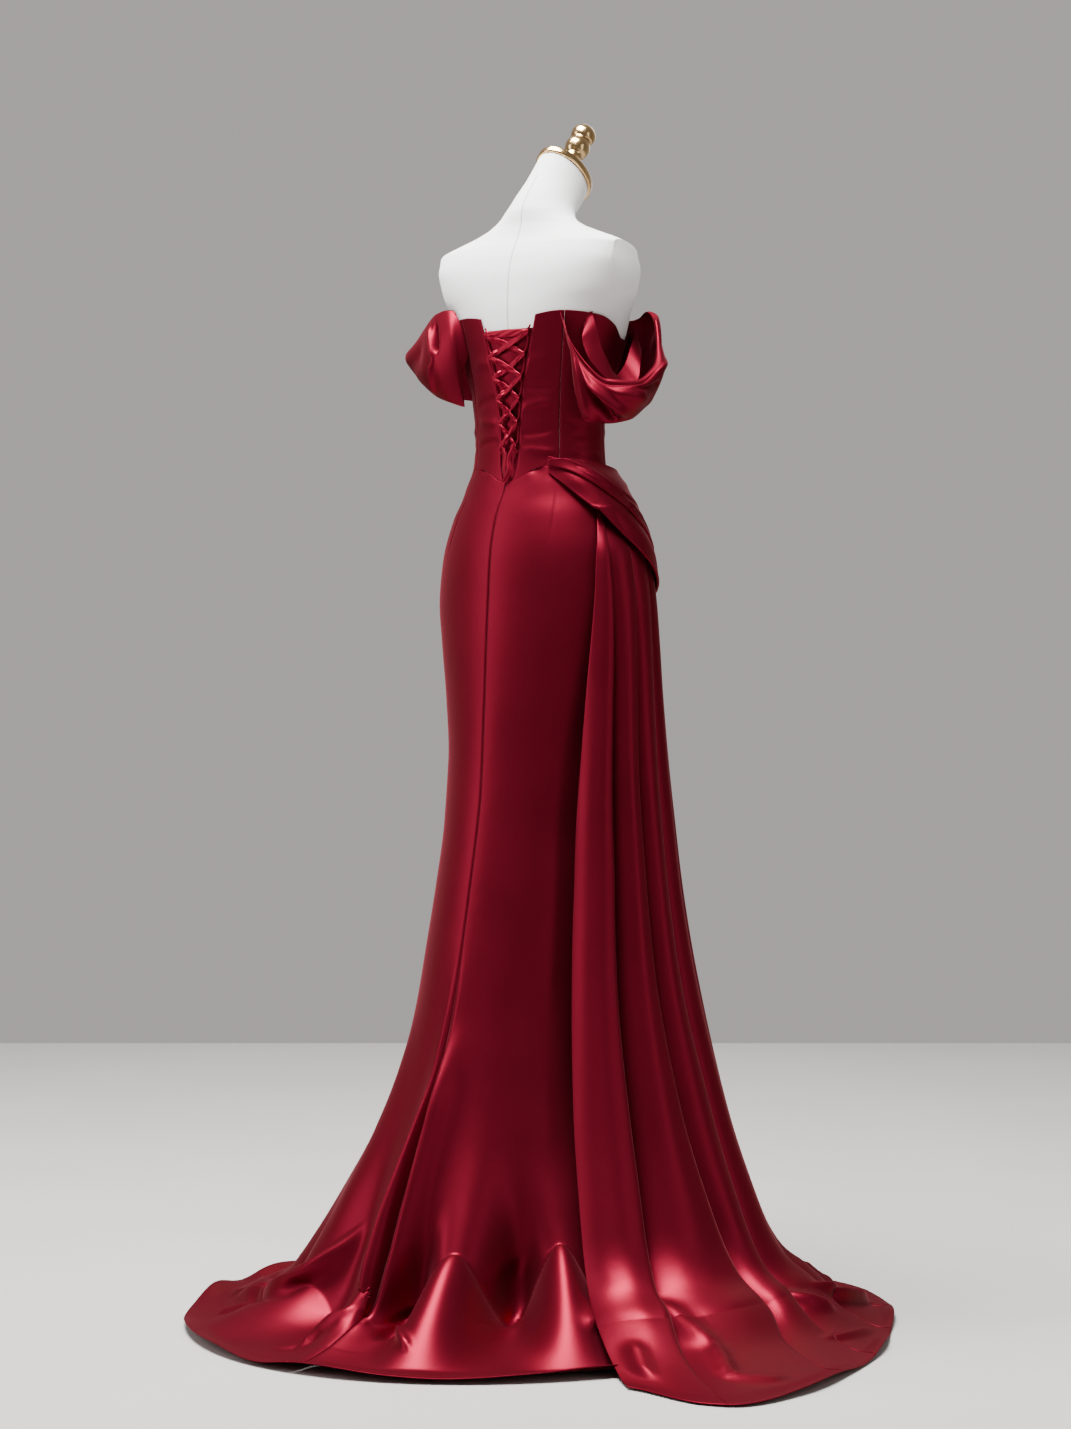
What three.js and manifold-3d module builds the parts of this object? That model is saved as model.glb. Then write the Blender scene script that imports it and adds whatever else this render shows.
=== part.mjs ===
// A draped satin evening gown with a mermaid skirt and a train, worn by a limbless dress form.
// Units are millimetres, +Z is up, the gown's front faces -Y and its wearer's left side is +X.
// The origin is on the floor, on the axis of the form's stand.
// Angles round the body are in degrees from the centre back, growing towards the wearer's right.
import * as THREE from "three";
import { mergeVertices } from "three/addons/utils/BufferGeometryUtils.js";
import Module from "manifold-3d";

const wasm = await Module();
wasm.setup();

// Driving dimensions
const CLOTH = 2; // wall of the satin with its underlining
const CORSET = 2.4; // wall of the boned bodice
const UNDER = 1; // wall of the panel behind the lacing
const EASE = 2.2; // air between the form and the bodice
const SEAM = 0.35; // gap between two neighbouring pieces
const LAYER = 1.2; // air between two layers of cloth
const SEW_GAP = 0.9; // air where one layer is sewn over another
const YOKE = 34; // height over which the skirt leaves the bodice's line
const WAIST_Z = 1388;
const BACK_DIP = 27; // how far the waist seam dips at the centre back
const BACK_DIP_WIDTH = 26;
const BACK_SEAM = 53;
const SIDE_SEAM = 98;
const FRONT_SEAM = 146;
const POLE_RADIUS = 15;
const BASE_RADIUS = 130;
const BASE_HEIGHT = 14;
const ARM_PLANE = 170; // where the form is cut off at the armholes
const ARM_PLATE = 5;
const NECK_TILT = 38;
const CAP_RADIUS = 45;
const CAP_DEPTH = 60;
const CAP_HEIGHT = 13;

// Form: one row for each section, with its centre's y, half width, front and back depth, and corner power
const FORM = [
  { z: 1080, cy: 0, half: 150, front: 86, back: 104, power: 2, tilt: 0 },
  { z: 1204, cy: 0, half: 170, front: 95, back: 122, power: 2, tilt: 0 },
  { z: 1290, cy: 0, half: 153, front: 90, back: 108, power: 2, tilt: 0 },
  { z: 1350, cy: 0, half: 128, front: 84, back: 93, power: 2, tilt: 0 },
  { z: 1405, cy: 0, half: 114, front: 80, back: 84, power: 2, tilt: 0 },
  { z: 1445, cy: 0, half: 112, front: 80, back: 83, power: 2, tilt: 0 },
  { z: 1500, cy: 0, half: 118, front: 88, back: 85, power: 2, tilt: 0 },
  { z: 1555, cy: 0, half: 133, front: 107, back: 88, power: 2, tilt: 0 },
  { z: 1605, cy: 0, half: 149, front: 120, back: 91, power: 2.1, tilt: 0 },
  { z: 1650, cy: 0, half: 163, front: 108, back: 93, power: 2.3, tilt: 0 },
  { z: 1672, cy: 0, half: 174, front: 96, back: 92, power: 2.5, tilt: 0 },
  { z: 1695, cy: 0, half: 182, front: 82, back: 90, power: 2.7, tilt: 3 },
  { z: 1721, cy: 0, half: 188, front: 66, back: 83, power: 2.9, tilt: 7 },
  { z: 1742, cy: 0, half: 188, front: 52, back: 73, power: 2.9, tilt: 9 },
  { z: 1757, cy: 0, half: 163, front: 46, back: 64, power: 2.5, tilt: 10 },
  { z: 1770, cy: 0, half: 131, front: 45, back: 59, power: 2.1, tilt: 10 },
  { z: 1785, cy: 0, half: 94, front: 46, back: 55, power: 2, tilt: 11 },
  { z: 1801, cy: -1, half: 69, front: 48, back: 54, power: 2, tilt: 13 },
  { z: 1822, cy: -12, half: 55, front: 49, back: 53, power: 2, tilt: 20 },
  { z: 1850, cy: -37, half: 47, front: 52, back: 53, power: 2, tilt: 29 },
  { z: 1885, cy: -67, half: 41, front: 56, back: 56, power: 2, tilt: NECK_TILT },
];

// Bodice top edge: height at each angle, the same on both sides
const BODICE_TOP = [
  { angle: 0, z: 1625 },
  { angle: 24, z: 1631 },
  { angle: 50, z: 1638 },
  { angle: 74, z: 1631 },
  { angle: 86, z: 1618 },
  { angle: 98, z: 1598 },
  { angle: 108, z: 1597 },
  { angle: 118, z: 1614 },
  { angle: 136, z: 1648 },
  { angle: 156, z: 1666 },
  { angle: 180, z: 1642 },
];

// Lacing gap: half its width at each height
const LACE_GAP = [
  { z: 1350, half: 4.5 },
  { z: 1362, half: 9 },
  { z: 1392, half: 16.5 },
  { z: 1457, half: 20 },
  { z: 1500, half: 24.5 },
  { z: 1557, half: 34 },
  { z: 1598, half: 43 },
  { z: 1640, half: 51 },
];

// Skirt: one row for each ring, with its reach from the stand's axis to each side
const SKIRT = [
  { z: 1390, left: 125, right: 125, back: 91, front: 86 },
  { z: 1345, left: 138, right: 138, back: 102, front: 92 },
  { z: 1304, left: 158, right: 158, back: 115, front: 98 },
  { z: 1238, left: 177, right: 177, back: 128, front: 103 },
  { z: 1171, left: 183, right: 183, back: 134, front: 110 },
  { z: 1104, left: 175, right: 175, back: 140, front: 118 },
  { z: 1005, left: 160, right: 160, back: 148, front: 127 },
  { z: 904, left: 149, right: 149, back: 159, front: 136 },
  { z: 804, left: 149, right: 149, back: 176, front: 145 },
  { z: 704, left: 157, right: 157, back: 197, front: 155 },
  { z: 604, left: 169, right: 166, back: 219, front: 166 },
  { z: 504, left: 181, right: 177, back: 243, front: 178 },
  { z: 404, left: 200, right: 190, back: 276, front: 192 },
  { z: 304, left: 240, right: 214, back: 318, front: 210 },
  { z: 204, left: 296, right: 256, back: 364, front: 231 },
  { z: 120, left: 347, right: 300, back: 402, front: 252 },
  { z: 60, left: 390, right: 344, back: 432, front: 270 },
  { z: 26, left: 424, right: 380, back: 462, front: 282 },
  { z: 9, left: 450, right: 418, back: 504, front: 290 },
  { z: 3, left: 484, right: 470, back: 580, front: 296 },
  { z: 2, left: 532, right: 530, back: 655, front: 302 },
];

// Folds of the skirt: ridges reach out and valleys draw in where it breaks on the floor
const SKIRT_FOLDS = [
  { waist: -4, floor: -62, width: 8, from: 420, reach: 16, lift: 20 },
  { waist: -30, floor: -46, width: 6, from: 260, reach: -34, lift: 0 },
  { waist: -24, floor: -31, width: 7, from: 420, reach: 20, lift: 26 },
  { waist: -12, floor: -15, width: 6, from: 520, reach: -30, lift: 0 },
  { waist: 0, floor: -1, width: 5, from: 800, reach: 24, lift: 26 },
  { waist: 6, floor: 7, width: 3.6, from: 330, reach: -42, lift: 0 },
  { waist: 12, floor: 16, width: 6, from: 420, reach: 26, lift: 18 },
  { waist: 24, floor: 30, width: 7.5, from: 420, reach: -84, lift: 0 },
  { waist: 34, floor: 43, width: 6, from: 360, reach: 12, lift: 12 },
];

// Overskirt: one row for each ring, with the angles of its two edges, its reach, and its folds' depth
const DRAPE = [
  { z: 1318, start: 74, end: 158, right: 174, back: 128, front: 120, fold: 6 },
  { z: 1238, start: 66, end: 158, right: 198, back: 150, front: 148, fold: 11 },
  { z: 1171, start: 64, end: 157, right: 208, back: 162, front: 160, fold: 14 },
  { z: 1104, start: 62, end: 156, right: 213, back: 170, front: 168, fold: 17 },
  { z: 1005, start: 59, end: 155, right: 219, back: 180, front: 177, fold: 20 },
  { z: 904, start: 56, end: 154, right: 227, back: 192, front: 186, fold: 23 },
  { z: 804, start: 53, end: 153, right: 238, back: 208, front: 195, fold: 26 },
  { z: 704, start: 51, end: 152, right: 250, back: 226, front: 205, fold: 28 },
  { z: 604, start: 49, end: 151, right: 267, back: 248, front: 216, fold: 31 },
  { z: 504, start: 47.5, end: 150, right: 289, back: 274, front: 229, fold: 34 },
  { z: 404, start: 46.5, end: 150, right: 315, back: 306, front: 244, fold: 37 },
  { z: 304, start: 46, end: 150, right: 345, back: 345, front: 262, fold: 40 },
  { z: 204, start: 46, end: 150, right: 384, back: 391, front: 285, fold: 42 },
  { z: 120, start: 46, end: 150, right: 422, back: 432, front: 306, fold: 40 },
  { z: 62, start: 46, end: 150, right: 455, back: 468, front: 324, fold: 32 },
  { z: 34, start: 46, end: 150, right: 486, back: 505, front: 338, fold: 20 },
];
// Overskirt's hem on the floor: its reach at each angle, and its height from the fold line to the edge
const DRAPE_HEM = [
  { angle: 44, reach: 640 },
  { angle: 47, reach: 672 },
  { angle: 52, reach: 780 },
  { angle: 56, reach: 810 },
  { angle: 64, reach: 780 },
  { angle: 75, reach: 716 },
  { angle: 87, reach: 662 },
  { angle: 103, reach: 604 },
  { angle: 120, reach: 580 },
  { angle: 134, reach: 560 },
  { angle: 150, reach: 470 },
];
const DRAPE_TRAIL = [
  { share: 0, z: 34 },
  { share: 0.22, z: 24 },
  { share: 0.5, z: 15 },
  { share: 0.78, z: 6 },
  { share: 1, z: 2 },
];
const DRAPE_VALLEYS = [0.19, 0.35, 0.485, 0.63, 0.78, 0.92]; // share of the width
const VALLEY_EDGE = 0.018; // width of a fold's steep side
const VALLEY_SLOPE = 0.045; // width of its gentle side
const VALLEY_COLUMNS = [-0.03, -0.008, 0.022, 0.06];
const DRAPE_HEAD = 0.06; // share of the overskirt's height that runs out from its seam

// Hip swags: heights of the upper and lower edge at each angle, and how far the edges stand off
const UPPER_SWAG = [
  { angle: 42, top: 1396, foot: 1388, topOut: 4, footOut: 6 },
  { angle: 56, top: 1398, foot: 1380, topOut: 5, footOut: 13 },
  { angle: 70, top: 1397, foot: 1362, topOut: 7, footOut: 21 },
  { angle: 82, top: 1393, foot: 1336, topOut: 10, footOut: 27 },
  { angle: 94, top: 1388, foot: 1300, topOut: 14, footOut: 31 },
  { angle: 106, top: 1384, foot: 1268, topOut: 17, footOut: 33 },
  { angle: 122, top: 1382, foot: 1246, topOut: 17, footOut: 34 },
  { angle: 140, top: 1386, foot: 1262, topOut: 14, footOut: 32 },
  { angle: 156, top: 1391, foot: 1304, topOut: 9, footOut: 24 },
  { angle: 170, top: 1396, foot: 1356, topOut: 5, footOut: 13 },
  { angle: 180, top: 1397, foot: 1386, topOut: 4, footOut: 6 },
];
const LOWER_SWAG = [
  { angle: 42, foot: 1376, footOut: 4 },
  { angle: 56, foot: 1350, footOut: 8 },
  { angle: 70, foot: 1312, footOut: 18 },
  { angle: 82, foot: 1270, footOut: 26 },
  { angle: 94, foot: 1232, footOut: 33 },
  { angle: 106, foot: 1204, footOut: 38 },
  { angle: 122, foot: 1184, footOut: 42 },
  { angle: 140, foot: 1198, footOut: 38 },
  { angle: 156, foot: 1246, footOut: 26 },
  { angle: 170, foot: 1316, footOut: 12 },
  { angle: 180, foot: 1362, footOut: 6 },
];

const SWAG_BULGE = 5;
const SWAG_TUCK = 14; // how far the lower swag runs up under the upper one
const SWAG_STEP = 9; // how far it lies behind it

// Lacing: heights of the loops, and sizes of the rouleau and the ribbon
const LOOPS = [1605, 1569, 1533, 1498, 1459, 1419];
const LOOP_RADIUS = 1.5;
const LOOP_REACH = 7;
const LOOP_SPREAD = 7;
const LOOP_STEP = 6;
const CHORD = 0.3; // how much the oval waist narrows over the gap
const LACE = 1;
const LACE_WIDTH = 8;
const LACE_LOW = 4; // stand-off of the ribbon in the middle of the gap
const LACE_HIGH = 9.8;
const LACE_RISE = 20; // distance from the edge at which it has risen over the loops
const TAIL_SPREAD = 9;
const TAIL_WIDTH = 7;
const TAIL_END = 1366;
const UNDER_TOP = 1612;
const UNDER_LAP = 8; // how far the under panel runs behind each edge, in degrees
const BODICE_ROWS = 11;

// Turned parts of the stand
const BUST_TOP = 1672; // below it the form has twice the sections, because the gown lies on it
const FINIAL = [
  { height: 0, radius: 0 },
  { height: 0, radius: 18 },
  { height: 5, radius: 18 },
  { height: 9, radius: 13 },
  { height: 26, radius: 12 },
  { height: 31, radius: 15 },
  { height: 35, radius: 15 },
  { height: 39, radius: 13 },
  { height: 47, radius: 19 },
  { height: 58, radius: 21.5 },
  { height: 68, radius: 19.5 },
  { height: 73, radius: 17 },
  { height: 78, radius: 20 },
  { height: 88, radius: 21.5 },
  { height: 99, radius: 17 },
  { height: 105, radius: 9 },
  { height: 107, radius: 0 },
];
const BASE_PROFILE = [
  { height: 0, radius: 0 },
  { height: 0, radius: BASE_RADIUS },
  { height: 7, radius: BASE_RADIUS },
  { height: BASE_HEIGHT, radius: BASE_RADIUS - 12 },
  { height: BASE_HEIGHT, radius: 0 },
];

// Sleeves: one row for each section from the back of the armhole, round the arm's place, to its front.
// Each row gives the rolled upper edge, the widest point and the lower edge.
const RIGHT_SLEEVE = [
  { x: 98, y: 84, rim: 1640, outX: 108, outY: 84, out: 1620, lowX: 118, lowY: 82, low: 1600 },
  { x: 130, y: 100, rim: 1584, outX: 140, outY: 104, out: 1548, lowX: 136, lowY: 96, low: 1500 },
  { x: 160, y: 98, rim: 1546, outX: 176, outY: 102, out: 1500, lowX: 156, lowY: 88, low: 1452 },
  { x: 190, y: 84, rim: 1520, outX: 210, outY: 84, out: 1488, lowX: 180, lowY: 66, low: 1450 },
  { x: 218, y: 48, rim: 1518, outX: 238, outY: 44, out: 1500, lowX: 204, lowY: 34, low: 1458 },
  { x: 226, y: 2, rim: 1544, outX: 238, outY: -4, out: 1530, lowX: 208, lowY: -10, low: 1484 },
  { x: 208, y: -42, rim: 1592, outX: 213, outY: -50, out: 1566, lowX: 192, lowY: -54, low: 1504 },
  { x: 168, y: -80, rim: 1656, outX: 173, outY: -91, out: 1614, lowX: 158, lowY: -90, low: 1510 },
  { x: 122, y: -98, rim: 1642, outX: 127, outY: -104, out: 1608, lowX: 128, lowY: -104, low: 1538 },
];
const LEFT_SLEEVE = [
  { x: 110, y: 70, rim: 1652, outX: 106, outY: 78, out: 1618, lowX: 104, lowY: 80, low: 1584 },
  { x: 134, y: 74, rim: 1656, outX: 112, outY: 96, out: 1586, lowX: 98, lowY: 78, low: 1492 },
  { x: 164, y: 68, rim: 1652, outX: 142, outY: 98, out: 1580, lowX: 122, lowY: 82, low: 1500 },
  { x: 200, y: 56, rim: 1630, outX: 186, outY: 84, out: 1568, lowX: 160, lowY: 70, low: 1512 },
  { x: 236, y: 32, rim: 1602, outX: 250, outY: 38, out: 1582, lowX: 216, lowY: 34, low: 1540 },
  { x: 236, y: -8, rim: 1602, outX: 250, outY: -12, out: 1578, lowX: 224, lowY: -20, low: 1524 },
  { x: 208, y: -48, rim: 1626, outX: 215, outY: -58, out: 1592, lowX: 196, lowY: -62, low: 1522 },
  { x: 168, y: -80, rim: 1656, outX: 173, outY: -91, out: 1614, lowX: 158, lowY: -90, low: 1514 },
  { x: 122, y: -98, rim: 1642, outX: 127, outY: -104, out: 1608, lowX: 128, lowY: -104, low: 1538 },
];
const FACET_DIP = 0.8; // how far the flat faces of the bodice lie inside its true curve
const SLEEVE_SEAT = 0.05; // share of a sleeve's length that leads away from where it is sewn on
// Inner strap of each sleeve: its upper edge, then its foot, the lower edge
const STRAP = [
  { x: 136, y: 52, z: 1644, footX: 132, footY: 60, foot: 1618 },
  { x: 151, y: 56, z: 1610, footX: 136, footY: 75, foot: 1588 },
  { x: 158, y: 53, z: 1580, footX: 148, footY: 77, foot: 1560 },
  { x: 168, y: 46, z: 1552, footX: 170, footY: 64, foot: 1528 },
  { x: 174, y: 32, z: 1532, footX: 192, footY: 40, foot: 1504 },
  { x: 172, y: 6, z: 1550, footX: 200, footY: 10, foot: 1522 },
  { x: 164, y: -28, z: 1588, footX: 188, footY: -20, foot: 1560 },
  { x: 148, y: -76, z: 1622, footX: 150, footY: -78, foot: 1596 },
];

const DEGREE = Math.PI / 180;

const mix = (a, b, t) => a + (b - a) * t;
const clamp = (t) => Math.min(1, Math.max(0, t));
const smooth = (t) => clamp(t) ** 2 * (3 - 2 * clamp(t));
const bell = (distance, width) => Math.exp(-((distance / width) ** 2));
const turn = (angle) => ((((angle + 180) % 360) + 360) % 360) - 180;
const at = (x, y, z) => new THREE.Vector3(x, y, z);

// A smooth curve through one column of a table, which never overshoots its rows
function column(table, key, name) {
  const x = table.map((row) => row[key]);
  const y = table.map((row) => row[name]);
  const step = x.slice(1).map((next, i) => next - x[i]);
  const rise = step.map((dx, i) => (y[i + 1] - y[i]) / dx);
  const slope = y.map((_, i) => {
    if (i === 0) return rise[0];
    if (i === y.length - 1) return rise[i - 1];
    if (rise[i - 1] * rise[i] <= 0) return 0;
    return (2 * rise[i - 1] * rise[i]) / (rise[i - 1] + rise[i]);
  });
  const down = x[0] > x[x.length - 1];
  return (value) => {
    let i = 0;
    while (i < x.length - 2 && (down ? value < x[i + 1] : value > x[i + 1])) i += 1;
    const t = clamp((value - x[i]) / step[i]);
    const start = (1 + 2 * t) * (1 - t) ** 2 * y[i] + t * t * (3 - 2 * t) * y[i + 1];
    return start + step[i] * (t * (1 - t) ** 2 * slope[i] - t * t * (1 - t) * slope[i + 1]);
  };
}

// Every column of a table as a smooth curve
function curves(table, key) {
  const names = Object.keys(table[0]).filter((name) => name !== key);
  return Object.fromEntries(names.map((name) => [name, column(table, key, name)]));
}

// The table with one more column: the share of the way down its own profile
function along(table, across) {
  let length = 0;
  const marks = table.map((row, i) => {
    const last = table[Math.max(0, i - 1)];
    length += Math.hypot(row.z - last.z, row[across] - last[across]);
    return length;
  });
  return table.map((row, i) => ({ ...row, down: marks[i] / length }));
}

// Distance from the axis to an oval with its own reach to each side
function oval(angle, side, end, power = 2) {
  const across = Math.abs(Math.sin(angle * DEGREE)) / side;
  const deep = Math.abs(Math.cos(angle * DEGREE)) / end;
  return (across ** power + deep ** power) ** (-1 / power);
}

const polar = (angle, reach, z) => at(-reach * Math.sin(angle * DEGREE), reach * Math.cos(angle * DEGREE), z);
const toBack = (angle) => Math.cos(angle * DEGREE) >= 0;

// Forms of the body and of the layers over it, as a reach at each angle and height
const form = curves(FORM, "z");
const bodiceTop = column(BODICE_TOP, "angle", "z");
const laceGap = column(LACE_GAP, "z", "half");

function formReach(angle, z) {
  const end = toBack(angle) ? form.back(z) : form.front(z);
  return oval(angle, form.half(z), end, form.power(z));
}

const bodiceReach = (angle, z) => formReach(angle, z) + EASE + CORSET;
const seamZ = (angle) => WAIST_Z - BACK_DIP * bell(turn(angle), BACK_DIP_WIDTH);

const SKIRT_PROFILE = along(SKIRT, "back");
const skirt = curves(SKIRT_PROFILE, "down");
const skirtDown = column(SKIRT_PROFILE, "z", "down");
const HEM_START = skirtDown(26);

// Folds of the skirt at one place: how far they push out, and how far they lift off the floor
function skirtFolds(angle, down, z) {
  const hem = clamp((down - HEM_START) / (1 - HEM_START));
  let reach = 0;
  let lift = 0;
  for (const fold of SKIRT_FOLDS) {
    const centre = mix(fold.floor, fold.waist, z / WAIST_Z);
    const shape = bell(turn(angle - centre), fold.width);
    reach += fold.reach * shape * smooth(1 - z / fold.from) * (1 - hem);
    lift += fold.lift * shape * smooth(1 - z / (3 * fold.lift + 1)) * (1 - 0.8 * smooth(hem));
  }
  return { reach, lift };
}

function skirtPoint(angle, down) {
  const z = skirt.z(down);
  const side = turn(angle) < 0 ? skirt.left(down) : skirt.right(down);
  const end = toBack(angle) ? skirt.back(down) : skirt.front(down);
  const folds = skirtFolds(angle, down, z);
  const flush = smooth((seamZ(angle) - z) / YOKE);
  return polar(angle, mix(bodiceReach(angle, z), oval(angle, side, end), flush) + folds.reach, z + folds.lift);
}

const skirtReach = (angle, z) => Math.hypot(skirtPoint(angle, skirtDown(z)).x, skirtPoint(angle, skirtDown(z)).y);

// Reach of the bodice above the waist seam, and of the skirt below it
const bodyReach = (angle, z) => (z > seamZ(angle) ? bodiceReach(angle, z) : skirtReach(angle, z));

// A solid from triangles that already close
function solid(points, faces) {
  const geometry = new THREE.BufferGeometry();
  const numbers = points.flatMap((p) => [p.x, p.y, p.z]);
  geometry.setAttribute("position", new THREE.Float32BufferAttribute(numbers, 3));
  geometry.setIndex(faces);
  geometry.computeVertexNormals();
  return geometry;
}

const quad = (a, b, c, d) => [a, b, c, a, c, d];

// A wall between two sheets of points, with its four rims. Rows run down and columns run along.
function wallBetween(outer, inner) {
  const rows = outer.length;
  const columns = outer[0].length;
  const points = [...outer.flat(), ...inner.flat()];
  const o = (i, j) => i * columns + j;
  const n = (i, j) => rows * columns + i * columns + j;
  const faces = [];
  for (let i = 0; i < rows - 1; i += 1) {
    for (let j = 0; j < columns - 1; j += 1) {
      faces.push(...quad(o(i, j), o(i + 1, j), o(i + 1, j + 1), o(i, j + 1)));
      faces.push(...quad(n(i, j), n(i, j + 1), n(i + 1, j + 1), n(i + 1, j)));
    }
    faces.push(...quad(o(i + 1, 0), o(i, 0), n(i, 0), n(i + 1, 0)));
    const last = columns - 1;
    faces.push(...quad(o(i, last), o(i + 1, last), n(i + 1, last), n(i, last)));
  }
  for (let j = 0; j < columns - 1; j += 1) {
    const last = rows - 1;
    faces.push(...quad(o(0, j), o(0, j + 1), n(0, j + 1), n(0, j)));
    faces.push(...quad(o(last, j + 1), o(last, j), n(last, j), n(last, j + 1)));
  }
  return solid(points, faces);
}

// A wall of cloth from a function of two shares, down and along. Each point of the far side lies one
// thickness behind its point of the near side, square to the cloth there.
function cloth(place, downs, alongs, thickness, level = false) {
  const spacing = (list, i) => Math.min(list[i] - (list[i - 1] ?? -9), (list[i + 1] ?? 9) - list[i]) / 2;
  const outer = downs.map((v) => alongs.map((u) => place(v, u)));
  const inner = downs.map((v, i) =>
    alongs.map((u, j) => {
      const step = spacing(alongs, j);
      const up = outer[Math.max(0, i - 1)][j];
      const down = outer[Math.min(downs.length - 1, i + 1)][j];
      const across = place(v, u + step).sub(place(v, u - step));
      const normal = down.clone().sub(up).cross(across).normalize();
      if (level) normal.setZ(0).normalize();
      const point = outer[i][j].clone().addScaledVector(normal, -thickness);
      point.z = Math.max(0, point.z);
      return point;
    }),
  );
  return wallBetween(outer, inner);
}

const even = (count, from = 0, to = 1) => Array.from({ length: count + 1 }, (_, i) => mix(from, to, i / count));

// A solid lofted through closed rings, with flat ends
function loft(rings) {
  const count = rings[0].length;
  const points = rings.flat();
  const faces = [];
  for (let i = 0; i < rings.length - 1; i += 1) {
    for (let j = 0; j < count; j += 1) {
      const next = (j + 1) % count;
      faces.push(...quad(i * count + j, i * count + next, (i + 1) * count + next, (i + 1) * count + j));
    }
  }
  for (const [ring, start, flip] of [[rings[0], 0, true], [rings.at(-1), (rings.length - 1) * count, false]]) {
    const centre = points.length;
    points.push(ring.reduce((sum, p) => sum.add(p), at(0, 0, 0)).divideScalar(count));
    for (let j = 0; j < count; j += 1) {
      const next = (j + 1) % count;
      faces.push(...(flip ? [centre, start + next, start + j] : [centre, start + j, start + next]));
    }
  }
  return solid(points, faces);
}

function toManifold(geometry) {
  const bare = geometry.clone();
  bare.deleteAttribute("normal");
  bare.deleteAttribute("uv");
  const merged = mergeVertices(bare);
  const vertProperties = new Float32Array(merged.attributes.position.array);
  return new wasm.Manifold(new wasm.Mesh({ numProp: 3, vertProperties, triVerts: new Uint32Array(merged.index.array) }));
}

function fromManifold(manifold) {
  const mesh = manifold.getMesh();
  const points = [];
  for (let i = 0; i < mesh.vertProperties.length; i += mesh.numProp) {
    points.push(at(mesh.vertProperties[i], mesh.vertProperties[i + 1], mesh.vertProperties[i + 2]));
  }
  return solid(points, Array.from(mesh.triVerts));
}

function mirrored(geometry) {
  const copy = geometry.clone();
  copy.scale(-1, 1, 1);
  const index = copy.index.array;
  for (let i = 0; i < index.length; i += 3) [index[i], index[i + 1]] = [index[i + 1], index[i]];
  copy.computeVertexNormals();
  return copy;
}

// Overskirt: shares run down its own profile from 0 to 1, and over the floor from 1 to 2
const DRAPE_PROFILE = along(DRAPE, "back");
const drape = curves(DRAPE_PROFILE, "down");
const drapeDown = column(DRAPE_PROFILE, "z", "down");
const drapeHem = column(DRAPE_HEM, "angle", "reach");
const drapeTrail = column(DRAPE_TRAIL, "share", "z");

function drapeValley(across) {
  const shape = (centre) => bell(across - centre, across < centre ? VALLEY_EDGE : VALLEY_SLOPE);
  return DRAPE_VALLEYS.reduce((sum, centre) => sum + shape(centre), 0);
}

function drapePoint(share, across) {
  const down = Math.min(1, share);
  const trail = share - down;
  const angle = mix(drape.start(down), drape.end(down), across);
  const end = toBack(angle) ? drape.back(down) : drape.front(down);
  const z = trail > 0 ? drapeTrail(trail) : drape.z(down);
  const hung = oval(angle, drape.right(down), end) - drape.fold(down) * drapeValley(across) * (1 - trail) ** 2;
  const sewn = Math.hypot(...skirtPoint(angle, skirtDown(z)).setZ(0).toArray()) + SEW_GAP + CLOTH;
  const reach = mix(sewn, hung, smooth(down / DRAPE_HEAD));
  return polar(angle, mix(reach, drapeHem(angle), trail), z);
}

// The outermost layer under the swags, with the overskirt where it lies
function layerReach(angle, z) {
  const under = bodyReach(angle, z);
  if (z > DRAPE[0].z || angle < DRAPE[0].start - 12) return under;
  const down = drapeDown(z);
  const end = toBack(angle) ? drape.back(down) : drape.front(down);
  return Math.max(under, oval(angle, drape.right(down), end) + CLOTH);
}

// Swags
const upper = curves(UPPER_SWAG, "angle");
const lower = curves(LOWER_SWAG, "angle");
const swagBulge = (share) => Math.sin(Math.PI * share) ** 1.5 * SWAG_BULGE;

const swagWidth = (angle) => smooth((angle - LOWER_SWAG[0].angle) / 30);
const lowerTop = (angle) => upper.foot(angle) + SWAG_TUCK;

function lowerSwagReach(angle, share) {
  const z = mix(lowerTop(angle), lower.foot(angle), share);
  const out = mix(upper.footOut(angle) - SWAG_STEP * swagWidth(angle), lower.footOut(angle), share);
  const stand = Math.max(CLOTH + SEW_GAP, out) + swagBulge(share) * swagWidth(angle);
  return Math.max(bodyReach(angle, z) + stand, layerReach(angle, z) + CLOTH + SEW_GAP);
}

function lowerSwagPoint(share, across) {
  const angle = mix(LOWER_SWAG[0].angle, 180, across);
  return polar(angle, lowerSwagReach(angle, share), mix(lowerTop(angle), lower.foot(angle), share));
}

function upperSwagPoint(share, across) {
  const angle = mix(UPPER_SWAG[0].angle, 180, across);
  const z = mix(upper.top(angle), upper.foot(angle), share);
  const out = mix(upper.topOut(angle), upper.footOut(angle), share) + swagBulge(share) * swagWidth(angle);
  const own = bodyReach(angle, z) + Math.max(CLOTH + SEW_GAP, out);
  const covered = (lowerTop(angle) - z) / (lowerTop(angle) - lower.foot(angle));
  const over = lowerSwagReach(angle, clamp(covered)) + CLOTH + 3 * LAYER;
  return polar(angle, mix(own, Math.max(own, over), smooth((lowerTop(angle) + SWAG_TUCK - z) / SWAG_TUCK)), z);
}

// Bodice
const BACK_CENTRE = 0;
const edgeAngle = (side, z) => (side * Math.asin(laceGap(z) / bodiceReach(side * 10, z))) / DEGREE;

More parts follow.
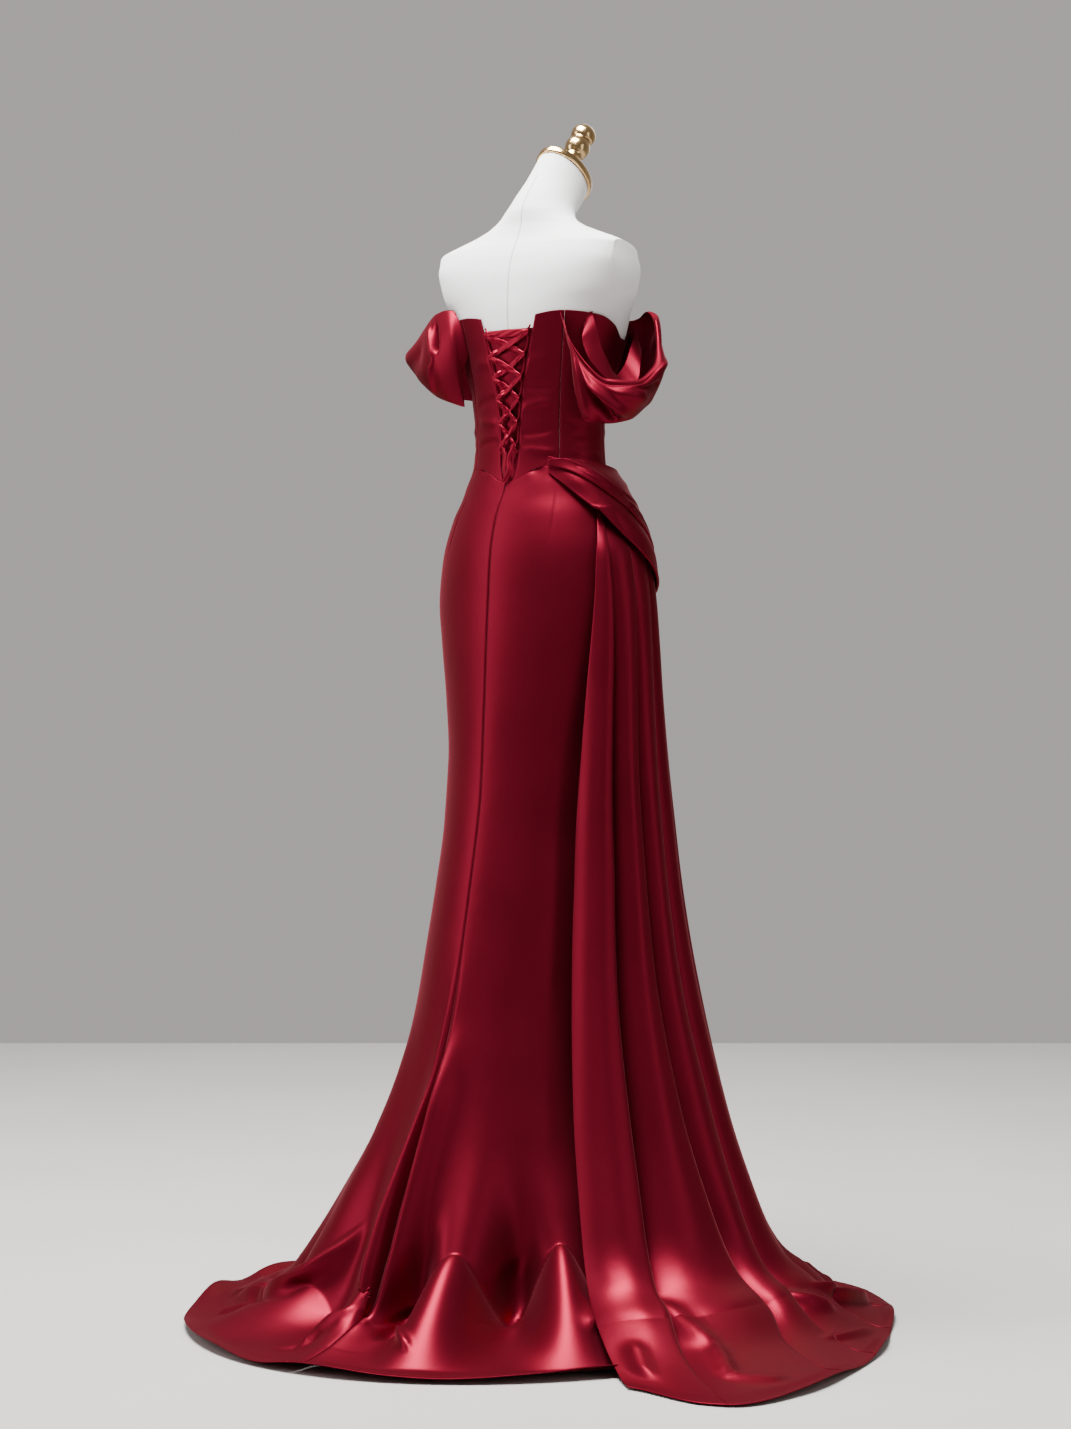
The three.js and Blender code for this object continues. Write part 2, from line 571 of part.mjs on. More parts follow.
function bodicePanel(fromAngle, toAngle, columnsAcross) {
  const inset = (angle, z) => (SEAM / 2 / bodiceReach(angle, z)) / DEGREE;
  const place = (down, across) => {
    let z = mix(bodiceTop(Math.abs(turn((fromAngle + toAngle) / 2))), WAIST_Z, down);
    let angle = 0;
    for (let i = 0; i < 4; i += 1) {
      const from = fromAngle === BACK_CENTRE ? edgeAngle(1, z) : fromAngle + inset(fromAngle, z);
      const to = toAngle === BACK_CENTRE ? edgeAngle(-1, z) : toAngle - inset(toAngle, z);
      angle = mix(from, to, across);
      z = mix(bodiceTop(Math.abs(turn(angle))), seamZ(angle), down);
    }
    return polar(angle, bodiceReach(angle, z), z);
  };
  return cloth(place, even(BODICE_ROWS), even(columnsAcross), CORSET, true);
}

function underPanel() {
  const place = (down, across) => {
    const z = mix(UNDER_TOP, seamZ(0) + SEAM, down);
    const half = edgeAngle(1, z) + UNDER_LAP;
    const angle = mix(-half, half, across);
    return polar(angle, formReach(angle, z) + (EASE + UNDER) / 2, z);
  };
  return cloth(place, even(8), even(8), UNDER, true);
}

// Lacing: a rouleau that runs down each edge and swells into a loop at each height
function loopCord(side) {
  const points = [];
  for (let z = LOOPS[0] + 12; z > LOOPS.at(-1) - 12; z -= LOOP_STEP) {
    const swell = LOOPS.reduce((sum, loop) => sum + bell(z - loop, LOOP_SPREAD), 0);
    const x = laceGap(z) - LOOP_RADIUS - SEAM - LOOP_REACH * swell;
    const reach = formReach(0, z) + EASE + LOOP_RADIUS + SEAM;
    points.push(at(side * -x, Math.sqrt(reach ** 2 - x ** 2 * CHORD), z));
  }
  const path = new THREE.CatmullRomCurve3(points);
  const section = new THREE.Shape(even(6).slice(0, 6).map((share) => {
    const angle = share * 2 * Math.PI;
    return new THREE.Vector2(LOOP_RADIUS * Math.cos(angle), LOOP_RADIUS * Math.sin(angle));
  }));
  return new THREE.ExtrudeGeometry(section, { steps: points.length + 4, bevelEnabled: false, extrudePath: path });
}

const lacePlace = (x, z) => {
  const overLoop = smooth((Math.abs(x) - laceGap(z) + LACE_RISE) / 5);
  const angle = Math.atan2(x, formReach(0, z)) / DEGREE;
  return polar(angle, formReach(angle, z) + mix(LACE_LOW, LACE_HIGH, overLoop), z);
};

function laceRun(from, to) {
  const place = (down, across) => {
    const x = mix(from.x, to.x, across);
    const z = mix(from.z, to.z, across) + mix(LACE_WIDTH / 2, -LACE_WIDTH / 2, down);
    return lacePlace(x, z);
  };
  return cloth(place, even(1), even(4), LACE, true);
}

function laceStrips() {
  const hook = (side, z) => ({ x: side * (laceGap(z) - LOOP_RADIUS * 2), z });
  const runs = [laceRun(hook(-1, LOOPS[0]), hook(1, LOOPS[0]))];
  for (const start of [-1, 1]) {
    LOOPS.slice(1).forEach((z, i) => {
      const side = i % 2 === 0 ? start : -start;
      const [from, to] = [hook(side, LOOPS[i]), hook(-side, z)];
      runs.push(from.x < to.x ? laceRun(from, to) : laceRun(to, from));
    });
  }
  const solids = runs.map(toManifold);
  return solids.reduce((sum, next) => sum.add(next));
}

// A hanging end of the lace
function laceTail(side) {
  const place = (down, across) => {
    const x = mix(side * TAIL_SPREAD, side * 2, down) + mix(-TAIL_WIDTH / 2, TAIL_WIDTH / 2, across);
    return lacePlace(x, mix(LOOPS.at(-1) + LACE_WIDTH / 2, TAIL_END, down));
  };
  return toManifold(cloth(place, even(5), even(2), LACE, true));
}

function lace() {
  return fromManifold(laceStrips().add(laceTail(-1)).add(laceTail(1)));
}

// Skirt
function skirtPanel(fromAngle, toAngle, columnsAcross) {
  const downs = SKIRT_PROFILE.map((row) => row.down);
  const place = (down, across) => {
    const inset = (SEAM / 2 / bodiceReach(0, WAIST_Z)) / DEGREE;
    const spread = smooth(1 - down) * inset + (1 - smooth(1 - down)) * inset * 0.3;
    const angle = mix(fromAngle + spread, toAngle - spread, across);
    const top = skirtDown(seamZ(angle) - SEAM);
    return skirtPoint(angle, mix(top, 1, down));
  };
  return cloth(place, downs, even(columnsAcross), CLOTH);
}

function overskirt() {
  const nearValley = DRAPE_VALLEYS.flatMap((centre) => VALLEY_COLUMNS.map((offset) => centre + offset));
  const downs = DRAPE_PROFILE.map((row) => row.down);
  const trail = DRAPE_TRAIL.slice(1).map((row) => 1 + row.share);
  return cloth(drapePoint, [...downs, ...trail], [0, 0.05, 0.11, ...nearValley, 1], CLOTH);
}

const swag = (place) => cloth(place, [0, 0.2, 0.45, 0.7, 0.9, 1], even(22), CLOTH);

// Sleeves, made for the wearer's right side
function clearOfBody(point, across) {
  const angle = Math.atan2(-point.x, point.y) / DEGREE;
  const least = bodiceReach(angle, point.z) + CLOTH + SEAM;
  const reach = Math.max(Math.hypot(point.x, point.y), least);
  const sewn = smooth(Math.min(across, 1 - across) / SLEEVE_SEAT);
  return polar(angle, mix(least - FACET_DIP, reach, sewn), point.z);
}

function sleeve(table) {
  const rows = table.map((row, i) => ({ ...row, place: i / (table.length - 1) }));
  const c = curves(rows, "place");
  const bend = (a, middle, b, t) => (1 - t) ** 2 * a + 2 * t * (1 - t) * (2 * middle - (a + b) / 2) + t * t * b;
  const place = (down, across) => {
    const x = bend(c.x(across), c.outX(across), c.lowX(across), down);
    const y = bend(c.y(across), c.outY(across), c.lowY(across), down);
    const z = bend(c.rim(across), c.out(across), c.low(across), down);
    return clearOfBody(at(-x, y, z), across);
  };
  return cloth(place, even(7), even(14), CLOTH);
}

function strap() {
  const rows = STRAP.map((row, i) => ({ ...row, place: i / (STRAP.length - 1) }));
  const c = curves(rows, "place");
  const place = (down, across) => {
    const x = mix(c.x(across), c.footX(across), down);
    const y = mix(c.y(across), c.footY(across), down);
    return clearOfBody(at(-x, y, mix(c.z(across), c.foot(across), down)), across);
  };
  return cloth(place, even(2), even(12), CLOTH);
}

// Dress form and stand
function formRing(row) {
  return even(26).slice(0, 26).map((share) => {
    const angle = share * 360;
    const reach = oval(angle, row.half, toBack(angle) ? row.back : row.front, row.power);
    const point = polar(angle, reach, 0);
    const lean = row.tilt * DEGREE;
    return at(point.x, row.cy + point.y * Math.cos(lean), row.z + point.y * Math.sin(lean));
  });
}

function slab(from, to) {
  const box = new THREE.BoxGeometry(to - from, 600, 2400);
  box.translate((from + to) / 2, 0, 1200);
  return toManifold(box);
}

// The form's own sections, with as many again between them where the gown lies on it
const formRows = FORM.flatMap((row, i) => {
  const last = FORM[i - 1];
  if (i === 0 || row.z > BUST_TOP) return [row];
  const z = (last.z + row.z) / 2;
  return [Object.fromEntries([["z", z], ...Object.entries(form).map(([name, curve]) => [name, curve(z)])]), row];
});
const wholeForm = toManifold(loft(formRows.map(formRing)));
const formTorso = fromManifold(wholeForm.intersect(slab(-ARM_PLANE, ARM_PLANE)));
const plateStart = ARM_PLANE + SEAM;
const armPlate = fromManifold(wholeForm.intersect(slab(plateStart, plateStart + ARM_PLATE)));

// What stands on the neck is turned with it, about the middle of the neck's top
const NECK_TOP = at(0, FORM.at(-1).cy, FORM.at(-1).z);
function onNeck(geometry, height) {
  geometry.rotateX(Math.PI / 2);
  geometry.translate(0, 0, height);
  geometry.rotateX(NECK_TILT * DEGREE);
  geometry.translate(NECK_TOP.x, NECK_TOP.y, NECK_TOP.z);
  return geometry;
}

function turned(profile, segments) {
  return new THREE.LatheGeometry(profile.map(([radius, height]) => new THREE.Vector2(radius, height)), segments);
}

function neckCap() {
  const profile = [
    [0, 0],
    [CAP_RADIUS - 2, 0],
    [CAP_RADIUS, 2],
    [CAP_RADIUS, CAP_HEIGHT - 2],
    [CAP_RADIUS - 3, CAP_HEIGHT],
    [0, CAP_HEIGHT],
  ];
  const cap = turned(profile, 36);
  cap.scale(1, 1, CAP_DEPTH / CAP_RADIUS);
  return onNeck(cap, SEAM);
}

function finial() {
  return onNeck(turned(FINIAL.map((row) => [row.radius, row.height]), 20), SEAM * 2 + CAP_HEIGHT);
}

// Assembly
const SATIN = { color: 0x6e0a1c, roughness: 0.36, metalness: 0.15 };
const JERSEY = { color: 0xe9e6e4, roughness: 0.85, metalness: 0 };
const GOLD = { color: 0xc79a4a, roughness: 0.28, metalness: 0.95 };
const STEEL = { color: 0xb9b9bb, roughness: 0.35, metalness: 0.9 };

const dress = new THREE.Group();
function add(name, geometry, finish) {
  const mesh = new THREE.Mesh(geometry, new THREE.MeshStandardMaterial({ ...finish, side: THREE.DoubleSide }));
  mesh.name = name;
  dress.add(mesh);
  return mesh;
}

add("form_torso", formTorso, JERSEY);
add("form_arm_plate_left", armPlate, JERSEY);
add("form_arm_plate_right", mirrored(armPlate), JERSEY);
add("neck_cap", neckCap(), GOLD);
add("finial", finial(), GOLD);
const poleLength = FORM[0].z - BASE_HEIGHT - 2 * SEAM;
const pole = add("pole", new THREE.CylinderGeometry(POLE_RADIUS, POLE_RADIUS, poleLength, 20), STEEL);
pole.rotation.x = Math.PI / 2;
pole.position.z = BASE_HEIGHT + SEAM + poleLength / 2;
const base = add("base", turned(BASE_PROFILE.map((row) => [row.radius, row.height]), 40), STEEL);
base.rotation.x = Math.PI / 2;

add("bodice_centre_front", bodicePanel(FRONT_SEAM, 360 - FRONT_SEAM, 8), SATIN);
add("bodice_side_front_right", bodicePanel(SIDE_SEAM, FRONT_SEAM, 6), SATIN);
add("bodice_side_front_left", bodicePanel(-FRONT_SEAM, -SIDE_SEAM, 6), SATIN);
add("bodice_side_back_right", bodicePanel(BACK_SEAM, SIDE_SEAM, 6), SATIN);
add("bodice_side_back_left", bodicePanel(-SIDE_SEAM, -BACK_SEAM, 6), SATIN);
add("bodice_centre_back_right", bodicePanel(BACK_CENTRE, BACK_SEAM, 5), SATIN);
add("bodice_centre_back_left", bodicePanel(-BACK_SEAM, BACK_CENTRE, 5), SATIN);
add("lacing_under_panel", underPanel(), SATIN);
add("lacing_loops_right", loopCord(1), SATIN);
add("lacing_loops_left", loopCord(-1), SATIN);
add("lacing_ribbon", lace(), SATIN);
add("skirt_back_right", skirtPanel(0, SIDE_SEAM, 22), SATIN);
add("skirt_back_left", skirtPanel(-SIDE_SEAM, 0, 22), SATIN);
add("skirt_front", skirtPanel(SIDE_SEAM, 360 - SIDE_SEAM, 14), SATIN);
add("overskirt", overskirt(), SATIN);
add("hip_swag_lower", swag(lowerSwagPoint), SATIN);
add("hip_swag_upper", swag(upperSwagPoint), SATIN);
add("sleeve_drape_right", sleeve(RIGHT_SLEEVE), SATIN);
add("sleeve_drape_left", mirrored(sleeve(LEFT_SLEEVE)), SATIN);
add("sleeve_strap_right", strap(), SATIN);
add("sleeve_strap_left", mirrored(strap()), SATIN);

export default dress;
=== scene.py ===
import bpy
import numpy as np
from mathutils import Matrix, Vector


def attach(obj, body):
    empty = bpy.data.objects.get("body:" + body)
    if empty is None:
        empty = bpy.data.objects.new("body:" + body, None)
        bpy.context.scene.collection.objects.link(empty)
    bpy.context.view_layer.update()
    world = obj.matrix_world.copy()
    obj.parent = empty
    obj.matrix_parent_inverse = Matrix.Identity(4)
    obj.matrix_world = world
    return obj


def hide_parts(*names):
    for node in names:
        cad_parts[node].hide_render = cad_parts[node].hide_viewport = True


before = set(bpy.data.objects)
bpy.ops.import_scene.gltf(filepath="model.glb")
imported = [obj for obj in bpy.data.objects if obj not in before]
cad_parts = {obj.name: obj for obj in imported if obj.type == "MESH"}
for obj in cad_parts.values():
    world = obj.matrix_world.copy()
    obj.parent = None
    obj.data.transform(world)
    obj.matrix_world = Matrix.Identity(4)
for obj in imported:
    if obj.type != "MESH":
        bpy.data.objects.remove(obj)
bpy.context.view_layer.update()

VIEW_TURN = 35
camera_data = bpy.data.cameras.new("camera")
camera_data.lens = 75.58
camera_data.sensor_width = 36
camera = bpy.data.objects.new("camera", camera_data)
camera.location = (-2.862, 4.100, 0.98)
camera.rotation_euler = (np.radians(90), 0, np.radians(180 + VIEW_TURN))
bpy.context.scene.collection.objects.link(camera)
bpy.context.scene.camera = camera


# Tables: a row is a section, ring or fold, and each column has a name
def table(columns, *rows):
    return [dict(zip(columns.split(), row)) for row in rows]


CLOTH = 0.002
CORSET = 0.0024
SATIN_WALL = 0.0012
EDGE_LINES = (0.15, 0.5, 1.2)
EASE = 0.0022
SEW_GAP = 0.0009
LAYER = 0.0012
YOKE = 0.034
WAIST_Z = 1.388
BACK_DIP = 0.027
BACK_DIP_WIDTH = 26
BACK_SEAM = 53
SIDE_SEAM = 98
FRONT_SEAM = 146
ARM_PLANE = 0.170
ARM_PLATE = 0.005
PART_GAP = 0.00035
NECK_TILT = 38

# Dress form: centre, half width, depths, corner power and lean of each section
FORM = table(
    "z cy half front back power tilt",
    (1.080, 0.000, 0.150, 0.086, 0.104, 2, 0),
    (1.204, 0.000, 0.170, 0.095, 0.122, 2, 0),
    (1.290, 0.000, 0.153, 0.090, 0.108, 2, 0),
    (1.350, 0.000, 0.128, 0.084, 0.093, 2, 0),
    (1.405, 0.000, 0.114, 0.080, 0.084, 2, 0),
    (1.445, 0.000, 0.112, 0.080, 0.083, 2, 0),
    (1.500, 0.000, 0.118, 0.088, 0.085, 2, 0),
    (1.555, 0.000, 0.133, 0.107, 0.088, 2, 0),
    (1.605, 0.000, 0.149, 0.120, 0.091, 2.1, 0),
    (1.650, 0.000, 0.163, 0.108, 0.093, 2.3, 0),
    (1.672, 0.000, 0.174, 0.096, 0.092, 2.5, 0),
    (1.695, 0.000, 0.182, 0.082, 0.090, 2.7, 3),
    (1.721, 0.000, 0.188, 0.066, 0.083, 2.9, 7),
    (1.742, 0.000, 0.188, 0.052, 0.073, 2.9, 9),
    (1.757, 0.000, 0.163, 0.046, 0.064, 2.5, 10),
    (1.770, 0.000, 0.131, 0.045, 0.059, 2.1, 10),
    (1.785, 0.000, 0.094, 0.046, 0.055, 2, 11),
    (1.801, -0.001, 0.069, 0.048, 0.054, 2, 13),
    (1.822, -0.012, 0.055, 0.049, 0.053, 2, 20),
    (1.850, -0.037, 0.047, 0.052, 0.053, 2, 29),
    (1.885, -0.067, 0.041, 0.056, 0.056, 2, 38),
)
BODICE_TOP = table(
    "angle z",
    (0, 1.625),
    (24, 1.631),
    (50, 1.638),
    (74, 1.631),
    (86, 1.618),
    (98, 1.598),
    (108, 1.597),
    (118, 1.614),
    (136, 1.648),
    (156, 1.666),
    (180, 1.642),
)
LACE_GAP = table(
    "z half",
    (1.350, 0.0045),
    (1.362, 0.009),
    (1.392, 0.0165),
    (1.457, 0.020),
    (1.500, 0.0245),
    (1.557, 0.034),
    (1.598, 0.043),
    (1.640, 0.051),
)
# Skirt: reach of each ring from the stand to each side
SKIRT = table(
    "z left right back front",
    (1.390, 0.125, 0.125, 0.091, 0.086),
    (1.345, 0.138, 0.138, 0.102, 0.092),
    (1.304, 0.158, 0.158, 0.115, 0.098),
    (1.238, 0.177, 0.177, 0.128, 0.103),
    (1.171, 0.183, 0.183, 0.134, 0.110),
    (1.104, 0.175, 0.175, 0.140, 0.118),
    (1.005, 0.160, 0.160, 0.148, 0.127),
    (0.904, 0.149, 0.149, 0.159, 0.136),
    (0.804, 0.149, 0.149, 0.176, 0.145),
    (0.704, 0.157, 0.157, 0.197, 0.155),
    (0.604, 0.169, 0.166, 0.219, 0.166),
    (0.504, 0.181, 0.177, 0.243, 0.178),
    (0.404, 0.200, 0.190, 0.276, 0.192),
    (0.304, 0.240, 0.214, 0.318, 0.210),
    (0.204, 0.296, 0.256, 0.364, 0.231),
    (0.120, 0.347, 0.300, 0.402, 0.252),
    (0.060, 0.390, 0.344, 0.432, 0.270),
    (0.026, 0.424, 0.380, 0.462, 0.282),
    (0.009, 0.450, 0.418, 0.504, 0.290),
    (0.003, 0.484, 0.470, 0.580, 0.296),
    (0.002, 0.532, 0.530, 0.655, 0.302),
)
# Where the skirt breaks on the floor: ridges reach out and valleys draw in
SKIRT_BREAKS = table(
    "waist floor width start reach lift",
    (-4, -62, 8, 0.420, 0.016, 0.020),
    (-30, -46, 6, 0.260, -0.034, 0.000),
    (-24, -31, 7, 0.420, 0.020, 0.026),
    (-12, -15, 6, 0.520, -0.030, 0.000),
    (0, -1, 5, 0.800, 0.024, 0.026),
    (6, 7, 3.6, 0.330, -0.042, 0.000),
    (12, 16, 6, 0.420, 0.026, 0.018),
    (24, 30, 7.5, 0.420, -0.084, 0.000),
    (34, 43, 6, 0.360, 0.012, 0.012),
)
BREAK_ONSET = 1.7
LEAST_RISE = 0.001
LIFT_LOST = 0.8
HEM_HEIGHT = 0.026
# Overskirt: angles of its two edges, reach and depth of folds at each ring
OVERSKIRT = table(
    "z start end right back front fold",
    (1.318, 74, 158, 0.174, 0.128, 0.120, 0.006),
    (1.238, 66, 158, 0.198, 0.150, 0.148, 0.011),
    (1.171, 64, 157, 0.208, 0.162, 0.160, 0.014),
    (1.104, 62, 156, 0.213, 0.170, 0.168, 0.017),
    (1.005, 59, 155, 0.219, 0.180, 0.177, 0.020),
    (0.904, 56, 154, 0.227, 0.192, 0.186, 0.023),
    (0.804, 53, 153, 0.238, 0.208, 0.195, 0.026),
    (0.704, 51, 152, 0.250, 0.226, 0.205, 0.028),
    (0.604, 49, 151, 0.267, 0.248, 0.216, 0.031),
    (0.504, 47.5, 150, 0.289, 0.274, 0.229, 0.034),
    (0.404, 46.5, 150, 0.315, 0.306, 0.244, 0.037),
    (0.304, 46, 150, 0.345, 0.345, 0.262, 0.040),
    (0.204, 46, 150, 0.384, 0.391, 0.285, 0.042),
    (0.120, 46, 150, 0.422, 0.432, 0.306, 0.040),
    (0.062, 46, 150, 0.455, 0.468, 0.324, 0.032),
    (0.034, 46, 150, 0.486, 0.505, 0.338, 0.020),
)
OVERSKIRT_HEM = table(
    "angle reach",
    (44, 0.640),
    (47, 0.672),
    (52, 0.780),
    (56, 0.810),
    (64, 0.780),
    (75, 0.716),
    (87, 0.662),
    (103, 0.604),
    (120, 0.580),
    (134, 0.560),
    (150, 0.470),
)
OVERSKIRT_TRAIL = table("share z", (0, 0.034), (0.22, 0.024), (0.5, 0.015), (0.78, 0.006), (1, 0.002))
OVERSKIRT_HEAD = 0.06
OVERSKIRT_LEAD = 12

# Hip swags: heights of the edges, and how far they stand off
UPPER_SWAG = table(
    "angle top foot top_out foot_out",
    (42, 1.396, 1.388, 0.004, 0.006),
    (56, 1.398, 1.380, 0.005, 0.013),
    (70, 1.397, 1.362, 0.007, 0.021),
    (82, 1.393, 1.336, 0.010, 0.027),
    (94, 1.388, 1.300, 0.014, 0.031),
    (106, 1.384, 1.268, 0.017, 0.033),
    (122, 1.382, 1.246, 0.017, 0.034),
    (140, 1.386, 1.262, 0.014, 0.032),
    (156, 1.391, 1.304, 0.009, 0.024),
    (170, 1.396, 1.356, 0.005, 0.013),
    (180, 1.397, 1.386, 0.004, 0.006),
)
LOWER_SWAG = table(
    "angle foot foot_out",
    (42, 1.376, 0.004),
    (56, 1.350, 0.008),
    (70, 1.312, 0.018),
    (82, 1.270, 0.026),
    (94, 1.232, 0.033),
    (106, 1.204, 0.038),
    (122, 1.184, 0.042),
    (140, 1.198, 0.038),
    (156, 1.246, 0.026),
    (170, 1.316, 0.012),
    (180, 1.362, 0.006),
)
SWAG_START = 42
SWAG_SPREAD = 30
SWAG_BULGE = 0.005
SWAG_TUCK = 0.014
SWAG_STEP = 0.009

# Sleeves: rolled upper edge, widest point and lower edge, from the back of the armhole to its front
RIGHT_SLEEVE = table(
    "x y rim out_x out_y out low_x low_y low",
    (0.098, 0.084, 1.640, 0.108, 0.084, 1.620, 0.118, 0.082, 1.600),
    (0.130, 0.100, 1.584, 0.140, 0.104, 1.548, 0.136, 0.096, 1.500),
    (0.160, 0.098, 1.546, 0.176, 0.102, 1.500, 0.156, 0.088, 1.452),
    (0.190, 0.084, 1.520, 0.210, 0.084, 1.488, 0.180, 0.066, 1.450),
    (0.218, 0.048, 1.518, 0.238, 0.044, 1.500, 0.204, 0.034, 1.458),
    (0.226, 0.002, 1.544, 0.238, -0.004, 1.530, 0.208, -0.010, 1.484),
    (0.208, -0.042, 1.592, 0.213, -0.050, 1.566, 0.192, -0.054, 1.504),
    (0.168, -0.080, 1.656, 0.173, -0.091, 1.614, 0.158, -0.090, 1.510),
    (0.122, -0.098, 1.642, 0.127, -0.104, 1.608, 0.128, -0.104, 1.538),
)
LEFT_SLEEVE = table(
    "x y rim out_x out_y out low_x low_y low",
    (0.110, 0.070, 1.652, 0.106, 0.078, 1.618, 0.104, 0.080, 1.584),
    (0.134, 0.074, 1.656, 0.112, 0.096, 1.586, 0.098, 0.078, 1.492),
    (0.164, 0.068, 1.652, 0.142, 0.098, 1.580, 0.122, 0.082, 1.500),
    (0.200, 0.056, 1.630, 0.186, 0.084, 1.568, 0.160, 0.070, 1.512),
    (0.236, 0.032, 1.602, 0.250, 0.038, 1.582, 0.216, 0.034, 1.540),
    (0.236, -0.008, 1.602, 0.250, -0.012, 1.578, 0.224, -0.020, 1.524),
    (0.208, -0.048, 1.626, 0.215, -0.058, 1.592, 0.196, -0.062, 1.522),
    (0.168, -0.080, 1.656, 0.173, -0.091, 1.614, 0.158, -0.090, 1.514),
    (0.122, -0.098, 1.642, 0.127, -0.104, 1.608, 0.128, -0.104, 1.538),
)
FACET_DIP = 0.0008
SLEEVE_SEAT = 0.05
SLEEVE_RISE = 0.002
STRAP = table(
    "x y z foot_x foot_y foot",
    (0.136, 0.052, 1.644, 0.132, 0.060, 1.618),
    (0.151, 0.056, 1.610, 0.136, 0.075, 1.588),
    (0.158, 0.053, 1.580, 0.148, 0.077, 1.560),
    (0.168, 0.046, 1.552, 0.170, 0.064, 1.528),
    (0.174, 0.032, 1.532, 0.192, 0.040, 1.504),
    (0.172, 0.006, 1.550, 0.200, 0.010, 1.522),
    (0.164, -0.028, 1.588, 0.188, -0.020, 1.560),
    (0.148, -0.076, 1.622, 0.150, -0.078, 1.596),
)


def mix(a, b, t):
    return a + (b - a) * t


def smooth(t):
    t = np.clip(t, 0, 1)
    return t * t * (3 - 2 * t)


def bell(distance, width):
    return np.exp(-((distance / width) ** 2))


def turn(angle):
    return (angle + 180) % 360 - 180


# A smooth curve through one column of a table, which never overshoots its rows
def column(rows, key, name):
    x = np.array([row[key] for row in rows], float)
    y = np.array([row[name] for row in rows], float)
    if x[0] > x[-1]:
        x, y = x[::-1], y[::-1]
    step = np.diff(x)
    rise = np.diff(y) / step
    slope = np.concatenate(([rise[0]], np.zeros(len(y) - 2), [rise[-1]]))
    same = rise[:-1] * rise[1:] > 0
    slope[1:-1][same] = (2 * rise[:-1] * rise[1:])[same] / (rise[:-1] + rise[1:])[same]

    def curve(value):
        value = np.clip(value, x[0], x[-1])
        i = np.clip(np.searchsorted(x, value, side="right") - 1, 0, len(x) - 2)
        t = (value - x[i]) / step[i]
        ends = (1 + 2 * t) * (1 - t) ** 2 * y[i] + t * t * (3 - 2 * t) * y[i + 1]
        return ends + step[i] * (t * (1 - t) ** 2 * slope[i] - t * t * (1 - t) * slope[i + 1])

    return curve


def curves(rows, key):
    return {name: column(rows, key, name) for name in rows[0] if name != key}


# The table with one more column, the share of the way down its profile, and that profile's length
def along(rows, across):
    z = np.array([row["z"] for row in rows])
    reach = np.array([row[across] for row in rows])
    marks = np.concatenate(([0], np.cumsum(np.hypot(np.diff(z), np.diff(reach)))))
    return [{**row, "down": mark / marks[-1]} for row, mark in zip(rows, marks)], marks[-1]


def oval(angle, side, end, power=2):
    across = np.abs(np.sin(np.radians(angle))) / side
    deep = np.abs(np.cos(np.radians(angle))) / end
    return (across**power + deep**power) ** (-1 / power)


def polar(angle, reach, z):
    heading = np.radians(angle)
    return np.stack(np.broadcast_arrays(-reach * np.sin(heading), reach * np.cos(heading), z), axis=-1)


def angle_of(points):
    return np.degrees(np.arctan2(-points[..., 0], points[..., 1]))


def reach_of(points):
    return np.hypot(points[..., 0], points[..., 1])


# The reach to the back or to the front, whichever an angle faces
def end_reach(shape, angle, place):
    return np.where(np.cos(np.radians(angle)) >= 0, shape["back"](place), shape["front"](place))


form = curves(FORM, "z")
bodice_top = column(BODICE_TOP, "angle", "z")
lace_gap = column(LACE_GAP, "z", "half")


def form_reach(angle, z):
    return oval(angle, form["half"](z), end_reach(form, angle, z), form["power"](z))


def bodice_reach(angle, z):
    return form_reach(angle, z) + EASE + CORSET


def seam_z(angle):
    return WAIST_Z - BACK_DIP * bell(turn(angle), BACK_DIP_WIDTH)


SKIRT_PROFILE, SKIRT_LENGTH = along(SKIRT, "back")
skirt = curves(SKIRT_PROFILE, "down")
skirt_down = column(SKIRT_PROFILE, "z", "down")
HEM_START = float(skirt_down(HEM_HEIGHT))


# How far the skirt's breaks push out, and how far they lift off the floor
def skirt_breaks(angle, down, z):
    hem = np.clip((down - HEM_START) / (1 - HEM_START), 0, 1)
    reach = 0
    lift = 0
    for fold in SKIRT_BREAKS:
        centre = mix(fold["floor"], fold["waist"], z / WAIST_Z)
        shape = bell(turn(angle - centre), fold["width"])
        reach = reach + fold["reach"] * shape * smooth(1 - z / fold["start"]) ** BREAK_ONSET * (1 - hem)
        rise = smooth(1 - z / (3 * fold["lift"] + LEAST_RISE)) * (1 - LIFT_LOST * smooth(hem))
        lift = lift + fold["lift"] * shape * rise
    return reach, lift


def skirt_point(angle, down):
    z = skirt["z"](down)
    side = np.where(turn(angle) < 0, skirt["left"](down), skirt["right"](down))
    reach, lift = skirt_breaks(angle, down, z)
    flush = smooth((seam_z(angle) - z) / YOKE)
    body = mix(bodice_reach(angle, z), oval(angle, side, end_reach(skirt, angle, down)), flush)
    return polar(angle, body + reach, z + lift)


def skirt_reach(angle, z):
    return reach_of(skirt_point(angle, skirt_down(z)))


def body_reach(angle, z):
    return np.where(z > seam_z(angle), bodice_reach(angle, z), skirt_reach(angle, z))


OVERSKIRT_PROFILE, OVERSKIRT_LENGTH = along(OVERSKIRT, "back")
overskirt = curves(OVERSKIRT_PROFILE, "down")
overskirt_down = column(OVERSKIRT_PROFILE, "z", "down")
overskirt_hem = column(OVERSKIRT_HEM, "angle", "reach")
overskirt_trail = column(OVERSKIRT_TRAIL, "share", "z")


